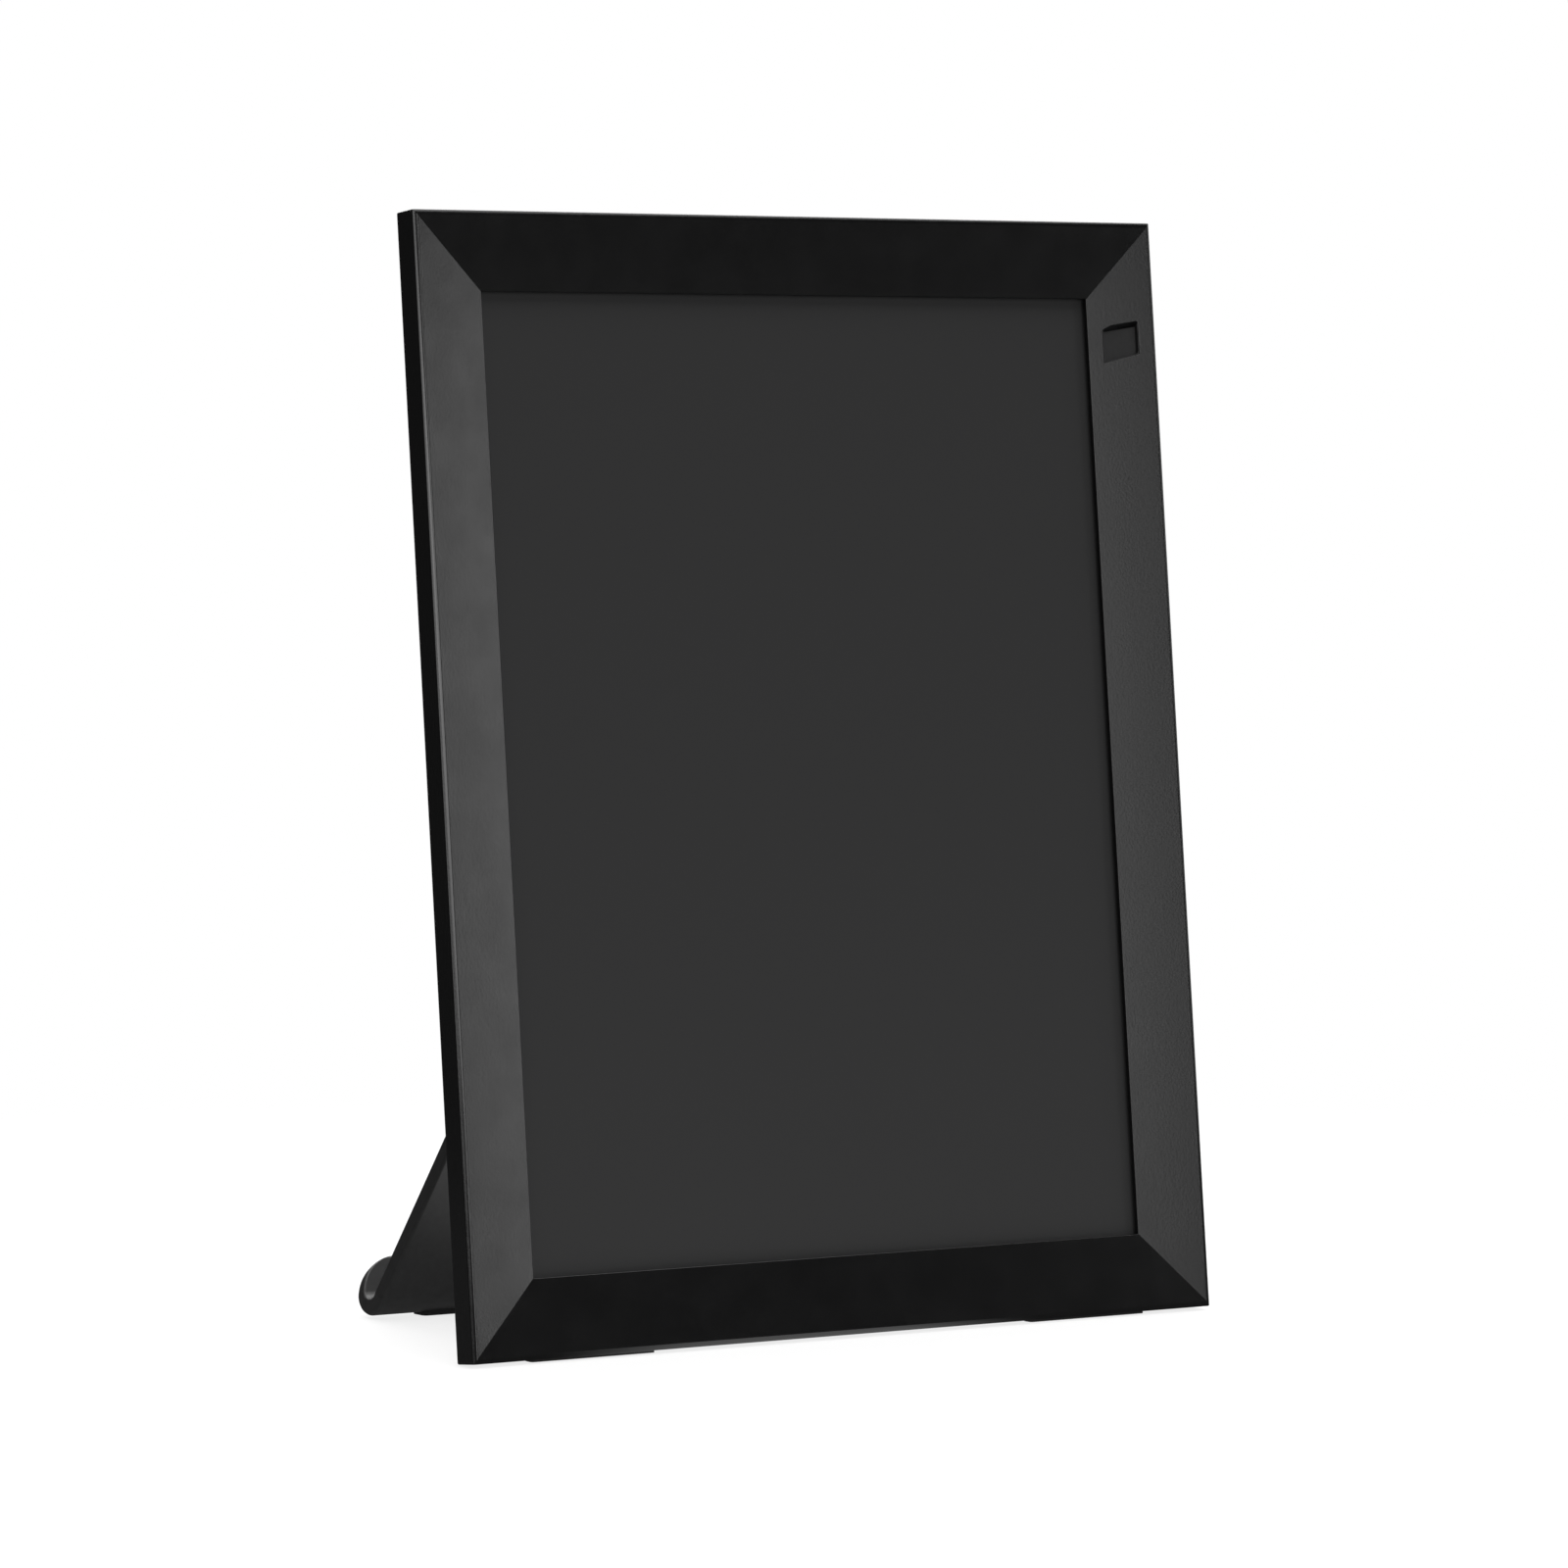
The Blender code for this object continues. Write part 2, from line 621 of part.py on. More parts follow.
def build_rear_cover(frame):
    low_z = SIDE_WALL + GAP
    cover = box(
        "rear_cover",
        (-COVER_W / 2, COVER_RIM_Y, low_z),
        (COVER_W / 2, COVER_BACK_Y, low_z + COVER_H),
        frame,
        BACK_BLACK,
        rounding=COVER_EDGE,
        chosen=lambda edge: min(v.co.y for v in edge.verts) > 0.0,
    )
    plate_front = COVER_BACK_Y - COVER_T
    hollow = box(
        "cover_hollow",
        (-COVER_W / 2 + COVER_RIM_T, REACH_FRONT_Y, low_z + COVER_RIM_T),
        (COVER_W / 2 - COVER_RIM_T, plate_front, low_z + COVER_H - COVER_RIM_T),
        frame,
        None,
    )
    window_low, window_high = COVER_WINDOW_Z
    window = box(
        "cover_window",
        (-COVER_WINDOW_HALF_W, 0.0, window_low),
        (COVER_WINDOW_HALF_W, COVER_CUT_Y, window_high),
        frame,
        None,
    )
    notch = box(
        "sensor_notch",
        (TRAY_RIGHT, REACH_FRONT_Y, SENSOR_Z - NOTCH_HALF_H),
        (BEZEL_W / 2, NOTCH_BACK_Y, SENSOR_Z + NOTCH_HALF_H),
        frame,
        None,
    )
    cut(cover, hollow, window, notch)
    root_y = plate_front + COVER_ROOT
    post_back = HOUSING_INNER_Y - GAP
    for x, z in housing_screw_places():
        join(cover, rod("cover_post", POST_R, (x, root_y, z), (x, post_back, z), frame, None, 20))
        pilot_front, pilot_back = (x, POST_PILOT_Y, z), (x, post_back + 1.0 * MM, z)
        cut(cover, rod("post_pilot", POST_PILOT_R, pilot_front, pilot_back, frame, None, 12))
    rest_back = BOARD_Y - BOARD_T - FINE_GAP
    for x in (-REST_X, REST_X):
        for z in REST_Z:
            join(cover, rod("board_rest", REST_R, (x, root_y, z), (x, rest_back, z), frame, None, 16))
    seat_y = COVER_BACK_Y - COVER_SEAT_DEPTH
    for index, (x, z) in enumerate(cover_screw_places(), start=1):
        outside = (x, COVER_CUT_Y, z)
        hole = rod("cover_screw_hole", COVER_HOLE_R, (x, 0.0, z), outside, frame, None, 16)
        seat = rod("cover_screw_seat", COVER_SEAT_R, (x, seat_y, z), outside, frame, None, 20)
        cut(cover, hole, seat)
        head_y = seat_y + SCREW_SLACK
        name = f"cover_screw_{index}"
        screw_part(name, x, z, COVER_SCREW_HEAD, COVER_SCREW_R, head_y, COVER_SCREW_TIP_Y, frame)


def housing_screw_places():
    return [(side * HOUSING_SCREW_X, z) for z in HOUSING_SCREW_Z for side in (-1, 1)]


def housing_block(name, shrink, skin, frame):
    half = HOUSING_W / 2 - shrink
    front = HOUSING_FRONT_Y if skin else HOUSING_FRONT_Y - HOUSING_OVERCUT
    shape = block_shape(
        (-half, front, HOUSING_LOW_Z + shrink),
        (half, HOUSING_BACK_Y - shrink, HOUSING_HIGH_Z - shrink),
    )
    draft_back(shape, HOUSING_DRAFT)
    round_edges(shape, HOUSING_CORNER - shrink, 4, runs_deep)
    if skin:
        back_y = HOUSING_BACK_Y - 1e-6
        round_edges(shape, HOUSING_EDGE, 2, lambda edge: all(v.co.y > back_y for v in edge.verts))
    return place(name, finish_mesh(name, shape), frame, skin)


def build_housing(frame):
    housing = housing_block("electronics_housing", 0.0, BACK_BLACK, frame)
    cut(housing, housing_block("housing_hollow", HOUSING_WALL, None, frame))
    inside_y, outside_y = WALL_CUT_Y
    hub_hole_ends = (0.0, inside_y, HUB_Z), (0.0, outside_y, HUB_Z)
    cut(housing, rod("hub_hole", HUB_HOLE_R, *hub_hole_ends, frame, None, 48))
    seat_y = HOUSING_BACK_Y - HOUSING_SEAT_DEPTH
    for index, (x, z) in enumerate(housing_screw_places(), start=1):
        outside = (x, outside_y, z)
        hole = rod("housing_screw_hole", HOUSING_HOLE_R, (x, inside_y, z), outside, frame, None, 16)
        seat = rod("housing_screw_seat", HOUSING_SEAT_R, (x, seat_y, z), outside, frame, None, 20)
        cut(housing, hole, seat)
        head_y = seat_y + SCREW_SLACK
        name = f"housing_screw_{index}"
        screw_part(name, x, z, HOUSING_SCREW_HEAD, HOUSING_SCREW_R, head_y, HOUSING_SCREW_TIP_Y, frame)
    for name, x in zip(BUTTON_NAMES, button_places()):
        cut(housing, key_block(f"button_hole_{name}", x, GAP, inside_y, outside_y, frame, None))
    cut_from_x, cut_to_x = SIDE_CUT_X
    for name, z, half_z, low_y, high_y, _ in SOCKETS:
        cut_low = (cut_from_x, low_y - GAP, z - half_z - GAP)
        cut_high = (cut_to_x, high_y + GAP, z + half_z + GAP)
        cut(housing, box(f"{name}_cutout", cut_low, cut_high, frame, None))
    for side in (-1, 1):
        for row in range(SLOT_ROWS):
            x = side * SPEAKER_X
            z = SPEAKER_Z + (row - (SLOT_ROWS - 1) / 2) * SLOT_PITCH
            low = (x - SLOT_HALF_W, inside_y, z - SLOT_HALF_H)
            high = (x + SLOT_HALF_W, outside_y, z + SLOT_HALF_H)
            cut(housing, box(f"speaker_slot_{side}_{row}", low, high, frame, None))


def build_sockets(frame):
    for name, z, half_z, low_y, high_y, depth in SOCKETS:
        low = (SOCKET_MOUTH_X - depth, low_y, z - half_z)
        high = (SOCKET_MOUTH_X, high_y, z + half_z)
        if name == "dc_inlet":
            body = box(name, low, high, frame, CHIP, rounding=DC_CORNER)
            middle_y = (low_y + high_y) / 2
            mouth = (SOCKET_MOUTH_X + 1.0 * MM, middle_y, z)
            inner = (SOCKET_MOUTH_X - DC_BORE_DEPTH, middle_y, z)
            cut(body, rod("dc_bore", DC_BORE_R, inner, mouth, frame, None, 24))
            continue
        wall = SOCKET_WALL
        body = box(name, low, high, frame, STEEL)
        hollow_low = (low[0] + SOCKET_BACK_WALL, low_y + wall, z - half_z + wall)
        hollow_high = (SOCKET_MOUTH_X + 1.0 * MM, high_y - wall, z + half_z - wall)
        cut(body, box(f"{name}_hollow", hollow_low, hollow_high, frame, None))


def build_boards(frame):
    front = BOARD_Y - BOARD_T
    board_left, board_right = MAIN_BOARD_X
    box(
        "main_board",
        (board_left, front, MAIN_BOARD_LOW_Z),
        (board_right, BOARD_Y, BOARD_TOP_Z),
        frame,
        BOARD_GREEN,
    )
    box(
        "button_board",
        (-BUTTON_BOARD_HALF_W, front, BOARD_TOP_Z + BOARD_SPACING),
        (BUTTON_BOARD_HALF_W, BOARD_Y, BUTTON_Z + BUTTON_W),
        frame,
        BOARD_GREEN,
    )
    rise = BOARD_Y + CHIP_LIFT
    for name, x, z, width, height, tall in CHIPS:
        skin = STEEL if name == "shield_can" else CHIP
        low = ((x - width / 2) * MM, rise, (z - height / 2) * MM)
        high = ((x + width / 2) * MM, rise + tall * MM, (z + height / 2) * MM)
        box(name, low, high, frame, skin, rounding=CHIP_EDGE)
    box("wifi_antenna", ANTENNA_LOW, ANTENNA_HIGH, frame, BOARD_GREEN)
    speaker_front, speaker_back = SPEAKER_Y
    for side, name in ((-1, "speaker_left"), (1, "speaker_right")):
        x = side * SPEAKER_X
        low = (x - SPEAKER_HALF_W, speaker_front, SPEAKER_Z - SPEAKER_HALF_H)
        high = (x + SPEAKER_HALF_W, speaker_back, SPEAKER_Z + SPEAKER_HALF_H)
        box(name, low, high, frame, CHIP, rounding=SPEAKER_CORNER, chosen=runs_deep)


def button_places():
    first = -BUTTON_PITCH * (len(BUTTON_NAMES) - 1) / 2
    return [first + index * BUTTON_PITCH for index in range(len(BUTTON_NAMES))]


def key_block(name, x, grow, front, back, parent, skin):
    half_w, half_h = BUTTON_W / 2 + grow, BUTTON_H / 2 + grow
    low = (x - half_w, front, BUTTON_Z - half_h)
    high = (x + half_w, back, BUTTON_Z + half_h)
    shape = block_shape(low, high)
    round_edges(shape, BUTTON_CORNER + grow, 3, runs_deep)
    if skin:
        round_edges(shape, BUTTON_EDGE, 1, lambda edge: all(v.co.y > back - 1e-6 for v in edge.verts))
    return place(name, finish_mesh(name, shape), parent, skin)


def build_buttons(frame):
    for name, x in zip(BUTTON_NAMES, button_places()):
        back = HOUSING_BACK_Y + BUTTON_PROUD
        key = key_block(f"button_{name}", x, 0.0, BUTTON_FLANGE_Y, back, frame, KEY)
        flange_back = HOUSING_INNER_Y - GAP
        half_w, half_h = BUTTON_W / 2 + FLANGE_WIDER, BUTTON_H / 2 + FLANGE_WIDER
        flange_low = (x - half_w, BUTTON_FLANGE_Y + SCREW_SLACK, BUTTON_Z - half_h)
        flange_high = (x + half_w, flange_back, BUTTON_Z + half_h)
        join(key, box(f"flange_{name}", flange_low, flange_high, frame, None))
        switch_low = (x - SWITCH_HALF, BOARD_Y + CHIP_LIFT, BUTTON_Z - SWITCH_HALF)
        switch_high = (x + SWITCH_HALF, SWITCH_BODY_Y, BUTTON_Z + SWITCH_HALF)
        switch = box(f"switch_{name}", switch_low, switch_high, frame, CHIP)
        plunger_start = (x, SWITCH_BODY_Y - GAP, BUTTON_Z)
        plunger_end = (x, SWITCH_TOP_Y, BUTTON_Z)
        join(switch, rod(f"plunger_{name}", PLUNGER_R, plunger_start, plunger_end, frame, None, 12))


def build_hub(frame):
    """The hub turns about the frame's normal; its origin is on that axis."""
    turn = new_empty("hub_turn", frame, (0.0, 0.0, HUB_Z))
    profile = [
        (0.0, HUB_BACK_Y),
        (HUB_R - HUB_RIM, HUB_BACK_Y),
        (HUB_R, HUB_BACK_Y - HUB_RIM),
        (HUB_R, HUB_FRONT_Y),
        (HUB_BOSS_R, HUB_FRONT_Y),
        (HUB_BOSS_R, HUB_BOSS_END_Y),
        (0.0, HUB_BOSS_END_Y),
    ]
    hub = turned("stand_hub", profile, (0.0, 0.0, 0.0), turn, BACK_BLACK, steps=64)
    rise = PIN_Z - HUB_Z
    for side in (-1, 1):
        near = side * EAR_INNER
        far = side * (EAR_INNER + EAR_T)
        cheek = rod(f"ear_{side}", EAR_R, (near, PIN_Y, rise), (far, PIN_Y, rise), turn, None, 32)
        root = box(
            f"ear_root_{side}",
            (min(near, far), HUB_BACK_Y - EAR_ROOT, rise - EAR_R),
            (max(near, far), PIN_Y, rise + EAR_R),
            turn,
            None,
        )
        join(hub, root, cheek)
    reach = EAR_INNER + EAR_T + 1.0 * MM
    bore_ends = (-reach, PIN_Y, rise), (reach, PIN_Y, rise)
    cut(hub, rod("ear_bore", PIN_BORE_R, *bore_ends, turn, None, 32))

    centre = (0.0, 0.0, 0.0)
    ring("hub_washer", *HUB_WASHER, centre, turn, STEEL, 48)
    retainer = ring("hub_retainer", *HUB_RETAINER, centre, turn, STEEL, 48)
    front_y, back_y = HUB_RETAINER[2] - 1.0 * MM, HUB_RETAINER[3] + 0.5 * MM
    for index in range(3):
        angle = math.radians(90.0 + 120.0 * index)
        x, z = HUB_SCREW_CIRCLE * math.cos(angle), HUB_SCREW_CIRCLE * math.sin(angle)
        hole = rod("retainer_hole", RETAINER_HOLE_R, (x, front_y, z), (x, back_y, z), turn, None, 16)
        cut(retainer, hole)
        pilot_ends = (x, front_y, z), (x, HUB_PILOT_END_Y, z)
        cut(hub, rod("hub_pilot", HUB_PILOT_R, *pilot_ends, turn, None, 12))
        name = f"hub_screw_{index + 1}"
        screw = screw_part(name, x, z, HUB_SCREW_HEAD, HUB_SCREW_R, 0.0, -HUB_SCREW_LENGTH, turn)
        screw.location = (x, HUB_SCREW_SEAT_Y, z)
        screw.rotation_euler = (math.pi / 2, 0.0, 0.0)

    pivot = new_empty("leg_fold", turn, (0.0, PIN_Y, rise), LEG_OPEN)
    end = EAR_INNER + EAR_T - 0.2 * MM
    rod("hinge_pin", PIN_R, (-end, 0.0, 0.0), (end, 0.0, 0.0), pivot, STEEL, 32)
    for side, name in ((-1, "friction_washer_left"), (1, "friction_washer_right")):
        washer_shape = (WASHER_INNER_R, WASHER_OUTER_R, 0.0, WASHER_T)
        washer = ring(name, *washer_shape, centre, pivot, NYLON, 24)
        washer.location = (side * (BARREL_HALF + FINE_GAP), 0.0, 0.0)
        washer.rotation_euler = (0.0, side * math.pi / 2, 0.0)
    return pivot


def leg_straight():
    """Length from the pin to the curl that puts the curl's lowest line SOLE_LIFT off the table."""
    pin_height = EDGE_LIFT - PIN_Y * math.sin(LEAN) + PIN_Z * math.cos(LEAN)
    curl_drop = CURL_R + LEG_T / 2 + SOLE_LIFT - CURL_R * math.sin(LEG_WORLD_TILT)
    return (pin_height - curl_drop) / math.cos(LEG_WORLD_TILT)


def leg_rows():
    """(y, z, half width) along the leg's middle surface, from the pin to the end of the lip."""
    straight = leg_straight()
    arc = CURL_R * CURL_TURN
    total = straight + arc + LIP
    stations = [0.0, NECK]
    stations += [NECK + SHOULDER * (1.0 - math.cos(math.radians(step))) for step in (30, 60, 90)]
    stations.append(straight)
    stations += [straight + arc * step / 10 for step in range(1, 11)]
    corner_start = total - LIP_CORNER
    corner = [total - LIP_CORNER * (1.0 - math.sin(math.radians(step))) for step in range(0, 91, 10)]
    stations += corner
    rows = []
    for along in sorted(set(round(station, 7) for station in stations)):
        y, z = leg_point(along, straight, arc)
        half = LEG_HALF_TOP + (LEG_HALF_FOOT - LEG_HALF_TOP) * min(1.0, along / straight)
        if along <= NECK:
            half = BARREL_HALF
        elif along < NECK + SHOULDER:
            part = 1.0 - (along - NECK) / SHOULDER
            half = BARREL_HALF + (half - BARREL_HALF) * math.sqrt(1.0 - part * part)
        if along > corner_start:
            part = min(1.0, (along - corner_start) / LIP_CORNER)
            half -= LIP_CORNER * (1.0 - math.sqrt(1.0 - part * part))
        rows.append((y, z, half))
    return rows


def leg_point(along, straight, arc):
    if along <= straight:
        return 0.0, -along
    if along <= straight + arc:
        turned_by = (along - straight) / CURL_R
        return CURL_R * (1.0 - math.cos(turned_by)), -straight - CURL_R * math.sin(turned_by)
    beyond = along - straight - arc
    y = CURL_R * (1.0 - math.cos(CURL_TURN)) + beyond * math.sin(CURL_TURN)
    z = -straight - CURL_R * math.sin(CURL_TURN) - beyond * math.cos(CURL_TURN)
    return y, z


def foot_pad_block(name, pivot, skin, margin=0.0):
    """A pad let into the bottom of the curl, level with the table."""
    tilt = LEG_WORLD_TILT
    straight = leg_straight()
    part = box(
        name,
        (-FOOT_PAD_W / 2 - margin, -FOOT_PAD_D / 2 - margin, -margin),
        (FOOT_PAD_W / 2 + margin, FOOT_PAD_D / 2 + margin, PAD_Z + margin),
        pivot,
        skin,
        rounding=FOOT_PAD_CORNER,
        chosen=runs_up,
    )
    drop = CURL_R + LEG_T / 2 + SOLE_LIFT
    part.location = (0.0, CURL_R - drop * math.sin(tilt), -straight - drop * math.cos(tilt))
    part.rotation_euler = (-tilt, 0.0, 0.0)
    return part


def build_leg(pivot):
    shape = bmesh.new()
    pairs = []
    for y, z, half in leg_rows():
        pairs.append((shape.verts.new((-half, y, z)), shape.verts.new((half, y, z))))
    for (left, right), (low_left, low_right) in zip(pairs, pairs[1:]):
        shape.faces.new((left, low_left, low_right, right))
    leg = place("stand_leg", finish_mesh("stand_leg", shape, smooth=True), pivot, BLACK)
    thick = leg.modifiers.new("thickness", "SOLIDIFY")
    thick.thickness = LEG_T
    thick.offset = 0.0
    thick.use_even_offset = True
    edge = leg.modifiers.new("edge", "BEVEL")
    edge.width = LEG_EDGE
    edge.segments = 1
    edge.limit_method = "ANGLE"
    edge.angle_limit = LEG_EDGE_ANGLE
    barrel_ends = (-BARREL_HALF, 0.0, 0.0), (BARREL_HALF, 0.0, 0.0)
    barrel = rod("leg_barrel", BARREL_R, *barrel_ends, pivot, None, 32)
    reach = BARREL_HALF + EAR_T
    bore = rod("leg_bore", PIN_BORE_R, (-reach, 0.0, 0.0), (reach, 0.0, 0.0), pivot, None, 32)
    join(leg, barrel)
    cut(leg, bore, foot_pad_block("foot_pad_pocket", pivot, None, FINE_GAP))
    foot_pad_block("leg_foot_pad", pivot, RUBBER)


clear_scene()
PARTS = new_collection("digital_photo_frame")
CUTTERS = new_collection("cutters")
FRAME = new_empty("frame_tilt", None, (0.0, BACK_EDGE_Y, EDGE_LIFT), -LEAN)
build_bezel(FRAME)
build_sensor(FRAME)
build_display(FRAME)
build_flex(FRAME)
build_rear_cover(FRAME)
build_housing(FRAME)
build_boards(FRAME)
build_sockets(FRAME)
build_buttons(FRAME)
LEG_PIVOT = build_hub(FRAME)
build_leg(LEG_PIVOT)
edge_pad_block(-1, "edge_pad_left", RUBBER)
edge_pad_block(1, "edge_pad_right", RUBBER)
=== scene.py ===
import math

import bmesh
import bpy
from mathutils import Matrix, Vector


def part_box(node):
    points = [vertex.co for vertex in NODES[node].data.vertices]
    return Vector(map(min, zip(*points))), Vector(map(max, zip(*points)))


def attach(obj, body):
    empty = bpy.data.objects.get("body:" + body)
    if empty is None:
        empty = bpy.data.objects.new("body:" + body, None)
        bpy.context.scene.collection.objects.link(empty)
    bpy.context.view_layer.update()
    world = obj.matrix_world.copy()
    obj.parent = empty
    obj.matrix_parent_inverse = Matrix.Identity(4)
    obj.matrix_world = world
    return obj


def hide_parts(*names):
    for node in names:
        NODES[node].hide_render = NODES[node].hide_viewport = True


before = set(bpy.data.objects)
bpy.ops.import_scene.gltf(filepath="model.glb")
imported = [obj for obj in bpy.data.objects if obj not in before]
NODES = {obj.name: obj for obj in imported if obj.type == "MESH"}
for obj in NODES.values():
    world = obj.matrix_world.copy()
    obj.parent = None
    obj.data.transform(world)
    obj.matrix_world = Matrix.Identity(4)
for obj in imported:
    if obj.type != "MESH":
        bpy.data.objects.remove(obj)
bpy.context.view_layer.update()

MM = 0.001
OVERCUT = 1.0 * MM

# The frame's pose on the table, as the CAD has it
LEAN = math.radians(5.74)
EDGE_LIFT = 0.15 * MM
BACK_EDGE_Y = -33.13 * MM
TILT = Matrix.Translation((0.0, BACK_EDGE_Y, EDGE_LIFT)) @ Matrix.Rotation(-LEAN, 4, "X")

# Bezel section
BEZEL_W = 149.0 * MM
BEZEL_H = 189.8 * MM
FACE_Y = -5.6 * MM
STRIP = 13.3 * MM
STRIP_RISE = 1.95 * MM
CHAMFER_IN = 0.8 * MM
CHAMFER_BACK = 0.44 * MM
SIDE_WALL = 1.8 * MM
FACE_WALL = 1.5 * MM
LEDGE_Y = -2.75 * MM
LEDGE = 4.0 * MM
BEZEL_SHARP = 25.0

# How wide each group of the bezel's edges is softened
CHAMFER_EDGE = 0.14 * MM
CORNER_EDGE = 0.30 * MM
OUTER_BACK_EDGE = 0.25 * MM
INNER_FRONT_EDGE = 0.10 * MM
MITRE_EDGE = 0.12 * MM
INNER_CORNER_EDGE = 0.16 * MM
SENSOR_RIM_EDGE = 0.10 * MM
SENSOR_RIM_REACH = 4.0 * MM
SENSOR_RIM_ANGLE = math.radians(40.0)

# Sensor opening: its top and bottom rise to the right, and its top wall slopes down to the floor
SENSOR_X = 67.6 * MM
SENSOR_Z = BEZEL_H - 20.9 * MM
SENSOR_HALF_W = 3.5 * MM
SENSOR_HALF_H = 2.95 * MM
SENSOR_SLOPE = math.tan(math.radians(12.3))
SENSOR_CORNER = 0.4 * MM
SENSOR_DEPTH = 0.8 * MM
VISOR_LEFT = 0.45 * MM
VISOR_RIGHT = 0.95 * MM
SENSOR_CUT_FRONT = -3.0 * MM
SENSOR_CUT_BACK = 6.0 * MM

# Sensor window: a tray in the opening, with a flange behind the bezel
WINDOW_CLEAR = 0.03 * MM
WINDOW_FRONT = 0.04 * MM
WINDOW_BACK = 1.9 * MM
WINDOW_WALL = 0.2 * MM
RECESS_FRONT = -1.0 * MM
RECESS_LIFT = 0.5 * MM
FLANGE_Y = (-2.6 * MM, -2.32 * MM)

# Display glass
GLASS_CORNER = 0.8 * MM
GLASS_EDGE = 0.12 * MM

# Rear cover. Values with CUT in their names carry a cut clear of the wall it goes through
COVER_BACK_Y = 3.8 * MM
COVER_T = 1.6 * MM
COVER_RIM_T = 1.2 * MM
COVER_CORNER = 0.6 * MM
COVER_EDGE = 0.6 * MM
COVER_CUT_BACK_Y = 6.0 * MM
COVER_WINDOW_HALF_W = 34.0 * MM
COVER_WINDOW_Z = (56.0 * MM, 106.0 * MM)
NOTCH_X = (66.0 * MM, 74.5 * MM)
NOTCH_Y = (-2.0 * MM, 0.6 * MM)
NOTCH_Z = 168.8 * MM
NOTCH_HALF_H = 12.0 * MM
COVER_SCREW_X = 60.0 * MM
COVER_SCREW_INSET = 6.0 * MM
COVER_HOLE_R = 1.3 * MM
COVER_SEAT_R = 2.3 * MM
COVER_SEAT_DEPTH = 0.9 * MM
COVER_SEAT_REACH = 2.5 * MM
POST_R = 3.2 * MM
POST_ROOT = 0.4 * MM
POST_GAP = 0.3 * MM
POST_BORE_R = 1.25 * MM
POST_BORE_Y = (5.0 * MM, 13.0 * MM)

# Electronics housing
HOUSING_BACK_Y = 14.0 * MM
HOUSING_WALL = 1.8 * MM
HOUSING_DRAFT = 3.0 * MM
HOUSING_CORNER = 7.0 * MM
HOUSING_EDGE = 1.4 * MM
HOUSING_CUT_FRONT = 2.0 * MM
HOUSING_CUT_Y = (11.0 * MM, 16.0 * MM)
HUB_HOLE_CUT_Y = (10.0 * MM, 16.0 * MM)
HOUSING_SCREW_X = 41.0 * MM
HOUSING_SCREW_Z = (31.0 * MM, 141.0 * MM)
HOUSING_HOLE_R = 1.5 * MM
HOUSING_SEAT_R = 3.0 * MM
HOUSING_SEAT_DEPTH = 1.1 * MM
SOCKET_GAP = 0.3 * MM
SOCKET_CUT_X = (44.0 * MM, 52.0 * MM)
SOCKET_CUT_CORNER = 0.5 * MM
SPEAKER_X = 22.0 * MM
SPEAKER_Z = 36.5 * MM
SLOT_ROWS = (-2, -1, 0, 1, 2)
SLOT_PITCH = 3.2 * MM
SLOT_HALF_W = 7.0 * MM
SLOT_HALF_H = 0.6 * MM
SLOT_END = 0.98
OPENING_EDGE = 0.2 * MM
OPENING_ANGLE = math.radians(60.0)

# Keys. KEY_CROWN has depth below the top, inset and corner radius, in millimetres
BUTTON_NAMES = ("power", "menu", "left", "right", "enter", "back")
BUTTON_Z = 138.0 * MM
KEY_HALF_W = 3.5 * MM
KEY_HALF_H = 2.5 * MM
KEY_CORNER = 1.6 * MM
KEY_GAP = 0.3 * MM
WELL_CORNER = 1.9 * MM
KEY_CROWN = (
    (0.38, 0.0, 1.6),
    (0.16, 0.06, 1.55),
    (0.04, 0.22, 1.45),
    (0.0, 0.48, 1.3),
    (0.02, 0.75, 1.1),
    (0.12, 1.3, 0.8),
    (0.17, 1.8, 0.5),
)
SKIRT_OUT = 0.9 * MM
SKIRT_INSET = 0.1 * MM
SKIRT_CORNER = 0.6 * MM
SYMBOL_DROP = 5.6 * MM
INK_SUNK = 0.02 * MM
INK_PROUD = 0.03 * MM

# Screws: head radius, head height, shank radius, underside of the head, tip
SCREW_SIZES = {
    "cover_screw": (2.0 * MM, 0.75 * MM, 0.85 * MM, COVER_BACK_Y - 0.8 * MM, -2.2 * MM),
    "housing_screw": (2.6 * MM, 0.9 * MM, 1.1 * MM, HOUSING_BACK_Y - 1.0 * MM, 5.6 * MM),
}
# Shares of the head's radius, and of its height below the top
SCREW_DOME = ((0.0, 0.0), (0.62, 0.0), (0.84, 0.14), (0.96, 0.38), (1.0, 0.62))
SCREW_POINT = 0.4
CROSS_ARM = 0.62
CROSS_HALF_W = 0.13
CROSS_DEPTH = 0.62
CROSS_TAPER = (0.45, 1.05)
CROSS_CUT = 0.1 * MM
SCREW_SPIN = 23.0

# Sockets
DC_CORNER = 0.5 * MM
DC_EDGE = 0.2 * MM
DC_BORE_R = 1.75 * MM
DC_BORE_DEPTH = 8.0 * MM
DC_PIN_R = 0.6 * MM
DC_PIN_ROOT = 8.05 * MM
DC_PIN_TIP = 0.9 * MM
DC_PIN_EDGE = 0.2 * MM
SHELL_WALL = 0.35 * MM
SHELL_CORNER = 0.4 * MM
SHELL_HOLLOW_CORNER = 0.25 * MM
SHELL_FLOOR = 1.0 * MM
TONGUE_INSET = 0.9 * MM
TONGUE_TIP = 0.8 * MM
TONGUE_CORNER = 0.1 * MM
CONTACT_ROOT = 1.5 * MM
CONTACT_TIP = 1.2 * MM
CONTACT_SUNK = 0.03 * MM
CONTACT_PROUD = 0.06 * MM
CONTACT_SHARE = 0.25
